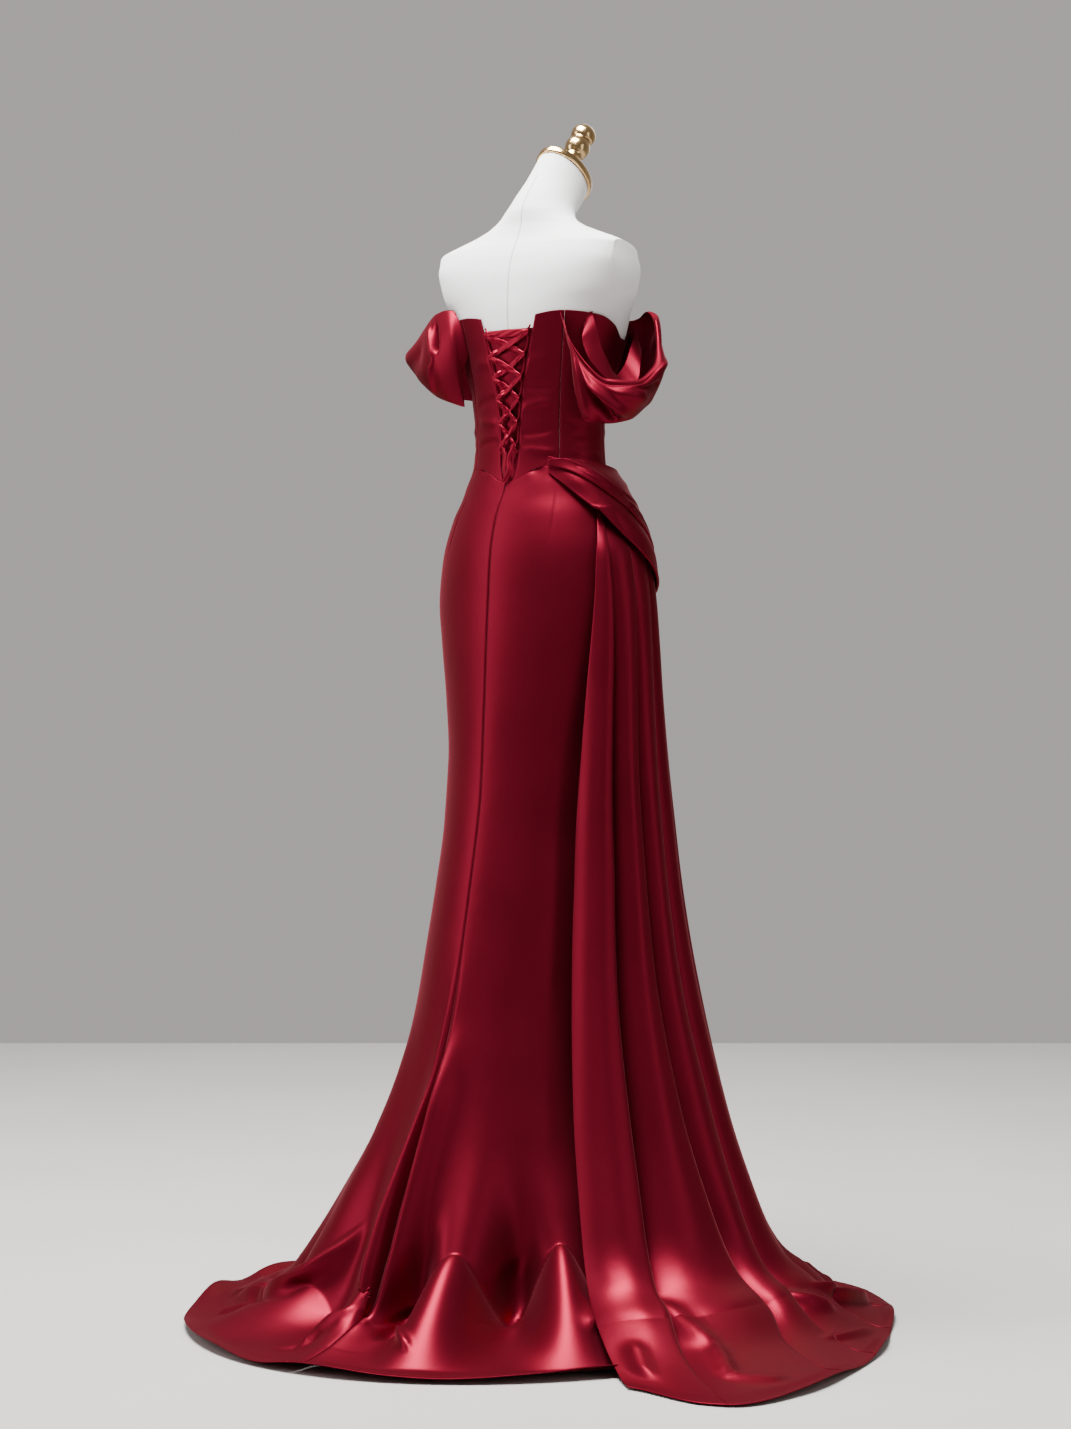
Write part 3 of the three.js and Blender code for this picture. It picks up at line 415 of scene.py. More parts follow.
# The outermost layer under the swags
def layer_reach(angle, z):
    under = body_reach(angle, z)
    down = overskirt_down(z)
    hung = oval(angle, overskirt["right"](down), end_reach(overskirt, angle, down))
    over = np.maximum(under, hung + CLOTH)
    bare = (z > OVERSKIRT[0]["z"]) | (angle < OVERSKIRT[0]["start"] - OVERSKIRT_LEAD)
    return np.where(bare, under, over)


upper = curves(UPPER_SWAG, "angle")
lower = curves(LOWER_SWAG, "angle")


def swag_bulge(share):
    return np.sin(np.pi * np.clip(share, 0, 1)) ** 1.5 * SWAG_BULGE


def swag_width(angle):
    return smooth((angle - SWAG_START) / SWAG_SPREAD)


def lower_top(angle):
    return upper["foot"](angle) + SWAG_TUCK


def lower_swag_reach(angle, share):
    z = mix(lower_top(angle), lower["foot"](angle), share)
    out = mix(upper["foot_out"](angle) - SWAG_STEP * swag_width(angle), lower["foot_out"](angle), share)
    stand = np.maximum(CLOTH + SEW_GAP, out) + swag_bulge(share) * swag_width(angle)
    return np.maximum(body_reach(angle, z) + stand, layer_reach(angle, z) + CLOTH + SEW_GAP)


def lower_swag_point(share, across):
    angle = mix(SWAG_START, 180, across)
    return polar(angle, lower_swag_reach(angle, share), mix(lower_top(angle), lower["foot"](angle), share))


def upper_swag_point(share, across):
    angle = mix(SWAG_START, 180, across)
    z = mix(upper["top"](angle), upper["foot"](angle), share)
    out = mix(upper["top_out"](angle), upper["foot_out"](angle), share)
    out = out + swag_bulge(share) * swag_width(angle)
    own = body_reach(angle, z) + np.maximum(CLOTH + SEW_GAP, out)
    covered = (lower_top(angle) - z) / (lower_top(angle) - lower["foot"](angle))
    over = lower_swag_reach(angle, np.clip(covered, 0, 1)) + CLOTH + 3 * LAYER
    blend = smooth((lower_top(angle) + SWAG_TUCK - z) / SWAG_TUCK)
    return polar(angle, mix(own, np.maximum(own, over), blend), z)


def clear_of_body(point, across):
    angle = angle_of(point)
    least = bodice_reach(angle, point[..., 2]) + CLOTH
    reach = np.maximum(reach_of(point), least)
    from_end = np.minimum(across, 1 - across)
    highest = bodice_top(np.abs(turn(angle))) + mix(SLEEVE_RISE, YOKE, smooth(from_end / (2 * SLEEVE_SEAT)))
    sewn = smooth(from_end / SLEEVE_SEAT)
    return polar(angle, mix(least - FACET_DIP, reach, sewn), np.minimum(point[..., 2], highest))


def bend(a, middle, b, t):
    return (1 - t) ** 2 * a + 2 * t * (1 - t) * (2 * middle - (a + b) / 2) + t * t * b


# Curves along a sleeve or strap, by the share of its length
def placed(rows):
    return curves([{**row, "place": i / (len(rows) - 1)} for i, row in enumerate(rows)], "place")


def sleeve_point(rows):
    c = placed(rows)

    def place(down, across):
        x = bend(c["x"](across), c["out_x"](across), c["low_x"](across), down)
        y = bend(c["y"](across), c["out_y"](across), c["low_y"](across), down)
        z = bend(c["rim"](across), c["out"](across), c["low"](across), down)
        return clear_of_body(np.stack([-x, y, z], axis=-1), across)

    return place


def strap_point(down, across):
    c = placed(STRAP)
    x = mix(c["x"](across), c["foot_x"](across), down)
    y = mix(c["y"](across), c["foot_y"](across), down)
    z = mix(c["z"](across), c["foot"](across), down)
    return clear_of_body(np.stack([-x, y, z], axis=-1), across)


# Folds of the overskirt as it hangs: where each one's crisp edge runs, as a share of the width
OVERSKIRT_EDGES = table(
    "share first second third fourth fifth sixth",
    (0.00, 0.030, 0.13, 0.23, 0.36, 0.54, 0.76),
    (0.03, 0.046, 0.16, 0.27, 0.41, 0.58, 0.79),
    (0.07, 0.063, 0.205, 0.33, 0.46, 0.62, 0.82),
    (0.18, 0.100, 0.235, 0.36, 0.50, 0.66, 0.84),
    (0.31, 0.120, 0.255, 0.385, 0.53, 0.69, 0.855),
    (0.46, 0.139, 0.285, 0.41, 0.55, 0.71, 0.86),
    (0.60, 0.140, 0.300, 0.425, 0.57, 0.72, 0.87),
    (0.74, 0.143, 0.318, 0.445, 0.58, 0.73, 0.87),
    (0.88, 0.131, 0.335, 0.435, 0.58, 0.73, 0.87),
    (1.00, 0.115, 0.345, 0.412, 0.57, 0.72, 0.86),
    (1.40, 0.090, 0.280, 0.385, 0.55, 0.71, 0.85),
    (2.00, 0.080, 0.260, 0.370, 0.54, 0.70, 0.85),
)
# One fold across: how far it runs along to its crisp edge, how deep it lies, and how far it tucks under
FOLD_SECTION = table(
    "place along deep tuck",
    (0.00, 0.00, 1.00, 1.00),
    (0.10, 0.03, 0.85, 0.80),
    (0.25, 0.15, 0.48, 0.30),
    (0.42, 0.40, 0.13, 0.00),
    (0.60, 0.72, 0.00, 0.00),
    (0.72, 0.94, 0.02, 0.00),
    (0.78, 1.00, 0.12, 0.05),
    (0.84, 1.00, 0.38, 0.35),
    (0.92, 1.00, 0.78, 0.85),
    (1.00, 1.00, 1.00, 1.00),
)
FOLD_START = 0.25
FOLD_END = 6.72
FOLD_TUCK = 0.028
FOLD_DEEPER = 0.9
FOLD_DEEPEST = 0.5
DEEPER_BY = 0.25
DEEPEST_AT = 0.42
DEEPEST_SPREAD = 0.2
TRAIL_RIDGE = 0.016
RIDGE_START = 0.93

overskirt_edges = curves(OVERSKIRT_EDGES, "share")
fold_section = curves(FOLD_SECTION, "place")


# The overskirt with its folds laid over: fold counts them from the free back edge
def folded_overskirt(share, fold):
    down = np.minimum(1, share)
    trail = share - down
    names = ("first", "second", "third", "fourth", "fifth", "sixth")
    edges = [overskirt_edges[name](share) for name in names]
    opening = fold_section["along"](FOLD_START)
    close = fold_section["along"](FOLD_END % 1)
    starts = [-edges[0] * opening / (1 - opening), *edges]
    ends = [*edges, edges[-1] + (1 - edges[-1]) / close]
    number = np.clip(np.floor(fold), 0, len(edges)).astype(int)
    place = fold - number
    begin = np.choose(number, starts)
    finish = np.choose(number, ends)
    across = mix(begin, finish, fold_section["along"](place))
    across = across - FOLD_TUCK * fold_section["tuck"](place) * (1 - trail) ** 2
    angle = mix(overskirt["start"](down), overskirt["end"](down), across)
    deep = fold_section["deep"](place)
    z = np.where(trail > 0, overskirt_trail(trail), overskirt["z"](down))
    z = z + TRAIL_RIDGE * (1 - deep) * smooth((down - RIDGE_START) / (1 - RIDGE_START)) * (1 - trail) ** 1.5
    hung = oval(angle, overskirt["right"](down), end_reach(overskirt, angle, down))
    deeper = 1 + FOLD_DEEPER * smooth(down / DEEPER_BY)
    deeper = deeper + FOLD_DEEPEST * bell(down - DEEPEST_AT, DEEPEST_SPREAD)
    hung = hung - deeper * overskirt["fold"](down) * deep * (1 - trail) ** 2
    sewn = skirt_reach(angle, z) + SEW_GAP + CLOTH
    reach = mix(sewn, hung, smooth(down / OVERSKIRT_HEAD))
    return polar(angle, mix(reach, overskirt_hem(angle), trail), z)


# Meshes: rows of points run down and columns run across
def spans(points, axis):
    steps = np.linalg.norm(np.diff(points, axis=axis), axis=-1)
    shape = list(steps.shape)
    shape[axis] = 1
    return np.concatenate((np.zeros(shape), np.cumsum(steps, axis=axis)), axis=axis)


def length_of(arrows):
    return np.linalg.norm(arrows, axis=-1, keepdims=True)


def to_edge(along_axis, axis):
    return np.minimum(along_axis, np.take(along_axis, [-1], axis) - along_axis)


def facing(points):
    normal = np.cross(np.gradient(points, axis=0), np.gradient(points, axis=1))
    return normal / np.maximum(length_of(normal), 1e-12)


def put(name, data):
    thing = bpy.data.objects.new(name, data)
    bpy.context.scene.collection.objects.link(thing)
    return thing


# A mesh whose UV map is the cloth laid flat, in metres
def cut_mesh(name, points, faces, cut, finish):
    mesh = bpy.data.meshes.new(name)
    mesh.from_pydata(points.reshape(-1, 3).tolist(), [], faces)
    mesh.materials.append(finish)
    corners = np.empty(len(mesh.loops), np.int32)
    mesh.loops.foreach_get("vertex_index", corners)
    layer = mesh.uv_layers.new(name="cut")
    layer.data.foreach_set("uv", cut[corners].astype(np.float32).ravel())
    mesh.polygons.foreach_set("use_smooth", [True] * len(mesh.polygons))
    return put(name, mesh)


# Shares with closer lines at both ends, where the cloth's edge rounds over
def edged(shares, length):
    near = np.array(EDGE_LINES) * SATIN_WALL / 2 / length * (shares[-1] - shares[0])
    inside = shares[(shares > shares[0] + 2 * near[-1]) & (shares < shares[-1] - 2 * near[-1])]
    return np.concatenate(([shares[0]], shares[0] + near, inside, shares[-1] - near[::-1], [shares[-1]]))


# Even shares of a length in metres, from one end to the other
def evenly(count, length, start=0, end=1):
    return edged(np.linspace(start, end, count), length)


def grid(down, across):
    return np.meshgrid(down, across, indexing="ij")


# A wall of cloth whose two faces close in a rounded edge all round
def cloth(name, points, wall, finish, relief=None):
    if relief is not None:
        points = points + facing(points) * relief[..., None]
    points[..., 2] = np.maximum(points[..., 2], wall)
    normal = facing(points)
    across = spans(points, 1)
    down = spans(points, 0)
    edge = np.clip(np.minimum(to_edge(across, 1), to_edge(down, 0)) / (wall / 2), 0, 1)
    half = wall / 2 * np.sqrt(1 - (1 - edge) ** 2)
    middle = points - normal * wall / 2
    outer = middle + normal * half[..., None]
    inner = middle - normal * half[..., None]
    for face in (outer, inner):
        face[..., 2] = np.maximum(face[..., 2], 0)
    rows, columns = points.shape[:2]
    near = np.arange(rows * columns).reshape(rows, columns)
    far = near + rows * columns
    far[0], far[-1], far[:, 0], far[:, -1] = near[0], near[-1], near[:, 0], near[:, -1]

    def quads(number, turned_over):
        a, b, c, d = number[:-1, :-1], number[1:, :-1], number[1:, 1:], number[:-1, 1:]
        corners = (a, d, c, b) if turned_over else (a, b, c, d)
        return np.stack([corner.ravel() for corner in corners], axis=1)

    faces = np.concatenate((quads(near, False), quads(far, True)))
    vertices = np.concatenate((outer.reshape(-1, 3), inner.reshape(-1, 3)))
    used = np.zeros(len(vertices), bool)
    used[faces.ravel()] = True
    number = np.cumsum(used) - 1
    middle_column = across[:, columns // 2][:, None]
    cut = np.stack([across - middle_column, down], axis=-1).reshape(-1, 2)
    return cut_mesh(name, vertices[used], number[faces].tolist(), np.concatenate((cut, cut))[used], finish)


CREASE_RUN_OUT = 0.3


# Soft ridges and troughs: each row runs from one place to another, in degrees and metres down the cloth
def creased(angle, run, reach, rows):
    out = np.zeros(np.broadcast(angle, run).shape)
    for row in rows:
        east = reach * np.radians(turn(angle - row["angle"]))
        south = run - row["run"]
        to_east = reach * np.radians(row["to_angle"] - row["angle"])
        to_south = row["to_run"] - row["run"]
        length = np.hypot(to_east, to_south)
        t = np.clip((east * to_east + south * to_south) / length**2, 0, 1)
        off = (east * to_south - south * to_east) / length - row["bow"] * 4 * t * (1 - t)
        width = row["width"] * (0.5 + 0.5 * np.sin(np.pi * t))
        width = np.where(off > 0, width * (1 - row["crisp"]), width)
        ends = smooth(t / CREASE_RUN_OUT) * smooth((1 - t) / CREASE_RUN_OUT)
        out = out + row["height"] * bell(off, width) * ends
    return out


CREASE = "angle run to_angle to_run width height bow crisp"


# Faces of a tube through rings of points, closed at both ends
def tube(rings, sides):
    number = np.arange(rings * sides).reshape(rings, sides)
    after = np.roll(number, -1, axis=1)
    faces = np.stack([number[:-1], after[:-1], after[1:], number[1:]], axis=-1).reshape(-1, 4)
    return [*faces.tolist(), number[0][::-1].tolist(), number[-1].tolist()]


def cord_mesh(name, path, radius, sides, finish):
    along_path = np.gradient(path, axis=0)
    along_path /= length_of(along_path)
    first = np.cross(along_path, (0, 1, 0))
    first /= length_of(first)
    second = np.cross(along_path, first)
    angles = np.linspace(0, 2 * np.pi, sides, endpoint=False)
    ring = first[:, None] * np.cos(angles)[None, :, None] + second[:, None] * np.sin(angles)[None, :, None]
    points = path[:, None] + ring * radius
    around = np.tile(angles * radius, (len(path), 1))
    length = np.repeat(spans(path, 0)[:, None], sides, axis=1)
    cut = np.stack([around, length], axis=-1).reshape(-1, 2)
    return cut_mesh(name, points, tube(len(path), sides), cut, finish)


# Finishes: a tone is a socket that takes part in sums, and each sum adds the node that makes it
class Tone:
    def __init__(self, finish, socket):
        self.finish = finish
        self.socket = socket

    def sum(self, operation, *values):
        return self.finish.node("ShaderNodeMath", {"operation": operation}, dict(enumerate(values)))

    def __add__(self, other):
        return self.sum("ADD", self, other)

    def __mul__(self, other):
        return self.sum("MULTIPLY", self, other)

    __radd__ = __add__
    __rmul__ = __mul__


# The nodes of one finish, or of the room
class Finish:
    def __init__(self, name, kept_in=bpy.data.materials):
        self.made = kept_in.new(name)
        self.made.use_nodes = True
        self.tree = self.made.node_tree
        self.tree.nodes.clear()

    # A node with its settings, then the values or links of its sockets by name or number
    def node(self, kind, settings=None, sockets=None, out=0):
        made = self.tree.nodes.new(kind)
        for name, value in (settings or {}).items():
            setattr(made, name, value)
        for name, value in (sockets or {}).items():
            if isinstance(value, Tone):
                self.tree.links.new(value.socket, made.inputs[name])
            else:
                made.inputs[name].default_value = value
        return Tone(self, made.outputs[out]) if made.outputs else None

    def blend(self, factor, first, second):
        sockets = {"Factor": factor, 6: first, 7: second}
        return self.node("ShaderNodeMix", {"data_type": "RGBA"}, sockets, out=2)

    def clouds(self, place, scale, detail):
        return self.node("ShaderNodeTexNoise", sockets={"Vector": place, "Scale": scale, "Detail": detail})

    def bump(self, strength, distance, height, **sockets):
        sockets.update(Strength=strength, Distance=distance, Height=height)
        return self.node("ShaderNodeBump", sockets=sockets)

    def surface(self, **sockets):
        named = {name.replace("_", " "): value for name, value in sockets.items()}
        shader = self.node("ShaderNodeBsdfPrincipled", sockets=named)
        self.node("ShaderNodeOutputMaterial", sockets={"Surface": shader})
        return self.made


def colour(red, green, blue):
    return (red, green, blue, 1)


SATIN_RED = colour(0.128, 0.005, 0.015)
RIBBON_RED = colour(0.21, 0.008, 0.024)
EDGE_TINT = colour(0.30, 0.010, 0.03)
SHEEN_TINT = colour(0.9, 0.15, 0.2)
SEAM_GREY = colour(0.3, 0.285, 0.28)
ROOM_TINT = colour(0.90, 0.855, 0.83)
# Threads and slubs in a metre of satin across and down, and the depth of a thread and of a scratch
THREADS = (2600, 700, 1)
THREAD_DEPTH = 0.0004
SCRATCH_DEPTH = 0.0003


def burgundy_satin(name, base, weave=0.06):
    f = Finish(name)
    cut = f.node("ShaderNodeUVMap", {"uv_map": "cut"})
    place = f.node("ShaderNodeTexCoord", out=3)
    threads = f.node("ShaderNodeMapping", sockets={"Vector": cut, "Scale": THREADS})
    slubs = f.clouds(threads, 1, 2)
    cloud = f.clouds(place, 9, 3)
    puckers = f.clouds(place, 38, 2)
    shade = 0.82 + 0.22 * cloud + 0.14 * slubs
    deep = f.blend(shade, colour(0, 0, 0), base)
    woven = f.bump(weave, THREAD_DEPTH, slubs)
    return f.surface(
        Base_Color=deep,
        Metallic=0.78,
        Roughness=0.36 + 0.1 * cloud,
        Normal=f.bump(0.12, 0.002, puckers, Normal=woven),
        Specular_IOR_Level=0.2,
        Specular_Tint=EDGE_TINT,
        Sheen_Weight=0.12,
        Sheen_Roughness=0.4,
        Sheen_Tint=SHEEN_TINT,
    )


def white_jersey():
    f = Finish("white_jersey")
    place = f.node("ShaderNodeTexCoord", out=3)
    knit = f.clouds(place, 900, 2)
    cloud = f.clouds(place, 14, 2)
    seam = f.node("ShaderNodeAttribute", {"attribute_name": "seam"}, out=2)
    tint = f.blend(0.25 * knit + 0.3 * cloud, colour(0.86, 0.845, 0.835), colour(0.95, 0.94, 0.935))
    tint = f.blend(seam, tint, SEAM_GREY)
    knitted = f.bump(0.25, THREAD_DEPTH, knit)
    return f.surface(Base_Color=tint, Roughness=0.82 + 0.1 * cloud, Normal=knitted, Sheen_Weight=0.3)


def polished_gold():
    f = Finish("polished_gold")
    place = f.node("ShaderNodeTexCoord", out=3)
    scratches = f.clouds(place, 260, 3)
    cloud = f.clouds(place, 30, 2)
    tint = f.blend(cloud, colour(0.50, 0.31, 0.13), colour(0.72, 0.50, 0.25))
    worn = f.bump(0.04, SCRATCH_DEPTH, scratches)
    return f.surface(Base_Color=tint, Metallic=1, Roughness=0.12 + 0.14 * scratches, Normal=worn)


def brushed_steel():
    f = Finish("brushed_steel")
    place = f.node("ShaderNodeTexCoord", out=3)
    fine = f.node("ShaderNodeMapping", sockets={"Vector": place, "Scale": (60, 60, 900)})
    brush = f.clouds(fine, 3, 3)
    tint = f.blend(brush, colour(0.42, 0.42, 0.43), colour(0.62, 0.62, 0.63))
    brushed = f.bump(0.05, SCRATCH_DEPTH, brush)
    return f.surface(Base_Color=tint, Metallic=1, Roughness=0.24 + 0.2 * brush, Normal=brushed)


def pale_floor():
    f = Finish("pale_floor")
    place = f.node("ShaderNodeTexCoord", out=3)
    cloud = f.clouds(place, 2, 3)
    tint = f.blend(cloud, colour(0.48, 0.46, 0.44), colour(0.54, 0.52, 0.50))
    return f.surface(Base_Color=tint, Roughness=0.7 + 0.1 * cloud)


satin = burgundy_satin("burgundy_satin", SATIN_RED)
ribbon_satin = burgundy_satin("ribbon_satin", RIBBON_RED, weave=0.03)
jersey = white_jersey()
gold = polished_gold()
steel = brushed_steel()


def wear(piece, node):
    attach(piece, "root")
    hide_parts(node)
    return piece


def satin_piece(node, points, relief=None):
    return wear(cloth(node + "_satin", points, SATIN_WALL, satin, relief), node)


# Bodice: seven boned panels, drawn flat and tight, with soft drag lines across them
BODICE_DRAGS = table(
    CREASE,
    (4, 1.560, 48, 1.566, 0.010, 0.0015, 0.004, 0),
    (10, 1.520, 52, 1.514, 0.009, -0.0014, 0.003, 0.3),
    (12, 1.478, 50, 1.492, 0.008, 0.0018, -0.003, 0.2),
    (9, 1.440, 51, 1.446, 0.007, -0.0017, 0.003, 0.3),
    (14, 1.418, 52, 1.410, 0.006, 0.0017, 0.002, 0),
    (56, 1.590, 96, 1.572, 0.010, 0.0017, 0.004, 0),
    (58, 1.520, 96, 1.532, 0.010, -0.0014, 0.004, 0.2),
    (56, 1.470, 94, 1.462, 0.009, 0.0020, 0.003, 0),
    (57, 1.436, 96, 1.440, 0.007, -0.0017, 0.002, 0.3),
    (60, 1.412, 96, 1.406, 0.006, 0.0017, 0.002, 0),
    (-4, 1.552, -48, 1.560, 0.010, 0.0015, 0.004, 0),
    (-10, 1.500, -52, 1.490, 0.009, -0.0014, 0.003, 0.3),
    (-12, 1.462, -50, 1.470, 0.008, 0.0018, -0.003, 0.2),
    (-9, 1.430, -51, 1.424, 0.007, -0.0017, 0.003, 0.3),
    (-56, 1.580, -96, 1.566, 0.010, 0.0017, 0.004, 0),
    (-57, 1.512, -95, 1.520, 0.010, -0.0014, 0.004, 0.2),
    (-56, 1.452, -95, 1.444, 0.008, 0.0020, 0.003, 0),
    (-58, 1.420, -96, 1.426, 0.007, -0.0017, 0.002, 0.3),
    (102, 1.560, 144, 1.590, 0.012, 0.0017, 0.004, 0),
    (102, 1.500, 144, 1.480, 0.011, -0.0017, 0.004, 0.2),
    (104, 1.452, 144, 1.440, 0.009, 0.0018, 0.003, 0),
    (-102, 1.566, -144, 1.584, 0.012, 0.0017, 0.004, 0),
    (-103, 1.492, -144, 1.478, 0.011, -0.0017, 0.004, 0.2),
    (-104, 1.448, -144, 1.436, 0.009, 0.0018, 0.003, 0),
    (150, 1.470, 205, 1.462, 0.012, 0.0017, 0.004, 0),
    (152, 1.430, 208, 1.436, 0.010, -0.0017, 0.003, 0.2),
    (150, 1.540, 178, 1.520, 0.014, 0.0014, 0.004, 0),
    (182, 1.522, 208, 1.542, 0.014, 0.0014, 0.004, 0),
)
BODICE_ROUND = 0.0035
BODICE_EDGE_DIP = 0.0011
BODICE_FADE = 0.008
WAIST_FADE = 0.06
TOP_FADE = 0.08


def edge_angle(side, z):
    return side * np.degrees(np.arcsin(lace_gap(z) / bodice_reach(side * 10, z)))


def bodice_panel(name, start, end, columns):
    down, across = grid(evenly(84, 0.24), evenly(columns, 0.08))
    middle = abs(turn((start + end) / 2))
    z = mix(bodice_top(middle), WAIST_Z, down)
    # the lacing's edges lean with the height, so both are settled in turn
    for _ in range(4):
        left = edge_angle(1, z) if start == 0 else start
        right = edge_angle(-1, z) if end == 0 else end
        angle = mix(left, right, across)
        z = mix(bodice_top(np.abs(turn(angle))), seam_z(angle), down)
    reach = bodice_reach(angle, z)
    points = polar(angle, reach, z)
    to_seam = to_edge(spans(points, 1), 1)
    dip = BODICE_EDGE_DIP * np.clip(1 - to_seam / BODICE_ROUND, 0, 1) ** 2
    fade = smooth(to_seam / BODICE_FADE) * smooth((1 - down) / WAIST_FADE) * smooth(down / TOP_FADE)
    relief = creased(angle, z, reach, BODICE_DRAGS) * fade - dip
    return satin_piece(name, points, relief)


BODICE_PANELS = table(
    "name start end columns width length area",
    ("bodice_centre_front", FRONT_SEAM, 360 - FRONT_SEAM, 76, 0.15, 0.29, 0.035),
    ("bodice_side_front_right", SIDE_SEAM, FRONT_SEAM, 54, 0.12, 0.27, 0.025),
    ("bodice_side_front_left", -FRONT_SEAM, -SIDE_SEAM, 54, 0.12, 0.27, 0.025),
    ("bodice_side_back_right", BACK_SEAM, SIDE_SEAM, 54, 0.11, 0.26, 0.024),
    ("bodice_side_back_left", -SIDE_SEAM, -BACK_SEAM, 54, 0.11, 0.26, 0.024),
    ("bodice_centre_back_right", 0, BACK_SEAM, 50, 0.09, 0.28, 0.017),
    ("bodice_centre_back_left", -BACK_SEAM, 0, 50, 0.09, 0.28, 0.017),
)
for row in BODICE_PANELS:
    panel = bodice_panel(row["name"], row["start"], row["end"], row["columns"])

# Lacing: the panel behind it, a rouleau of loops down each edge, and one ribbon crossed through them
LOOPS = (1.605, 1.569, 1.533, 1.498, 1.459, 1.419)
LOOP_RADIUS = 0.0015
LOOP_REACH = 0.0075
LOOP_SPREAD = 0.006
LOOP_OFF = 0.0004
LOOP_PUSH = 0.001
LOOP_CURVE = 0.3
LACE_WIDTH = 0.0140
LACE_LOW = 0.0050
LACE_HIGH = 0.0098
LACE_RISE = 0.020
LACE_STEP = 0.005
LACE_WALL = 0.0006
LACE_CUP = 0.0011
LACE_PASS = 0.0013
LACE_RUFFLE = 0.0004
LACE_TWISTS = (0.3, -0.2, 0.35, -0.3, 0.25)
LOOP_END = 0.012
LOOP_STEP = 0.0012
TAIL_HALF = 0.0038
TAIL_CURL = 0.0022
TAIL_CUP = 0.0016
TAIL_FOOT = 1.3625
UNDER_TOP = 1.612
UNDER_LAP = 8
UNDER_WALL = 0.0009
UNDER_EASE = 0.8 * EASE
UNDER_DRAGS = table(
    CREASE,
    (-12, 1.575, 12, 1.560, 0.006, 0.0008, 0.002, 0),
    (-10, 1.520, 9, 1.530, 0.006, -0.0008, 0.002, 0),
    (-8, 1.470, 8, 1.462, 0.005, 0.0008, 0.001, 0),
)


def under_panel():
    down, across = grid(evenly(70, 0.26), evenly(40, 0.1))
    z = mix(UNDER_TOP, seam_z(0), down)
    half = edge_angle(1, z) + UNDER_LAP
    angle = mix(-half, half, across)
    reach = form_reach(angle, z) + UNDER_EASE
    drags = creased(angle, z, reach, UNDER_DRAGS)
    panel = cloth("lacing_under_panel_satin", polar(angle, reach, z), UNDER_WALL, satin, drags)
    wear(panel, "lacing_under_panel")


def loop_cord(side):
    z = np.arange(LOOPS[0] + LOOP_END, LOOPS[-1] - LOOP_END, -LOOP_STEP)
    swell = sum(bell(z - loop, LOOP_SPREAD) for loop in LOOPS)
    x = lace_gap(z) - LOOP_RADIUS - LOOP_REACH * swell
    reach = form_reach(0, z) + EASE + LOOP_RADIUS + LOOP_OFF + LOOP_PUSH * swell
    return np.stack([side * -x, np.sqrt(reach**2 - LOOP_CURVE * x**2), z], axis=-1)


def lace_place(x, z):
    over_loop = smooth((np.abs(x) - lace_gap(z) + LACE_RISE) / LACE_STEP)
    angle = np.degrees(np.arctan2(x, form_reach(0, z)))
    return angle, form_reach(angle, z) + mix(LACE_LOW, LACE_HIGH, over_loop)


# One run of the ribbon from loop to loop, cupped across its width and turned over a little on the way
def lace_run(name, start, end, over, twist):
    down, across = grid(np.linspace(0, 1, 13), evenly(60, 0.07))
    x = mix(start[0], end[0], across)
    width = LACE_WIDTH * (0.5 + 0.5 * np.sin(np.pi * across))
    lean = twist * np.sin(np.pi * across)
    z = mix(start[1], end[1], across) + width * (0.5 - down) * np.cos(lean)
    angle, reach = lace_place(x, z)
    cup = LACE_CUP * (1 - (2 * down - 1) ** 2)
    pass_over = over * LACE_PASS * bell(across - 0.5, 0.2)
    ruffle = LACE_RUFFLE * np.sin(across * 21 + 9 * down + start[1] * 500)
    reach = reach + cup + pass_over + ruffle + width * (down - 0.5) * np.sin(lean)
    return cloth(name, polar(angle, reach, z), LACE_WALL, ribbon_satin)


def lace_tail(name, side):
    down, across = grid(evenly(50, 0.06), np.linspace(0, 1, 13))
    curl = TAIL_CURL * np.sin(down * 9 + side * 1.3)
    x = mix(side * 0.009, side * 0.002, down) + mix(-TAIL_HALF, TAIL_HALF, across) + curl
    z = mix(LOOPS[-1] + 0.004, TAIL_FOOT, down)
    angle, reach = lace_place(x, z)
    cup = TAIL_CUP * np.sin(np.pi * across + 2 * down * side) + 0.001 * side
    return cloth(name, polar(angle, reach + cup, z), LACE_WALL, ribbon_satin)


def joined(name, things):
    bpy.ops.object.select_all(action="DESELECT")
    for thing in things:
        thing.select_set(True)
    bpy.context.view_layer.objects.active = things[0]
    bpy.ops.object.join()
    whole = bpy.context.view_layer.objects.active
    whole.name = name
    whole.data.name = name
    whole.select_set(False)
    return whole


def lacing():
    for side, hand in ((1, "right"), (-1, "left")):
        loops = cord_mesh(f"lacing_loops_{hand}_rouleau", loop_cord(side), LOOP_RADIUS, 10, ribbon_satin)
        wear(loops, f"lacing_loops_{hand}")

    def hook(side, z):
        return side * (lace_gap(z) - LOOP_RADIUS * 2), z

    runs = [lace_run("lace_top", hook(-1, LOOPS[0]), hook(1, LOOPS[0]), 0, 0)]
    for start in (-1, 1):
        for i, z in enumerate(LOOPS[1:]):
            side = start if i % 2 == 0 else -start
            first, last = hook(side, LOOPS[i]), hook(-side, z)
            ends = (first, last) if first[0] < last[0] else (last, first)
            runs.append(lace_run(f"lace_{i}", *ends, start, LACE_TWISTS[i] * start))
    runs += [lace_tail("lace_end_left", -1), lace_tail("lace_end_right", 1)]
    ribbon = joined("lacing_ribbon_satin", runs)
    wear(ribbon, "lacing_ribbon")


under_panel()
lacing()

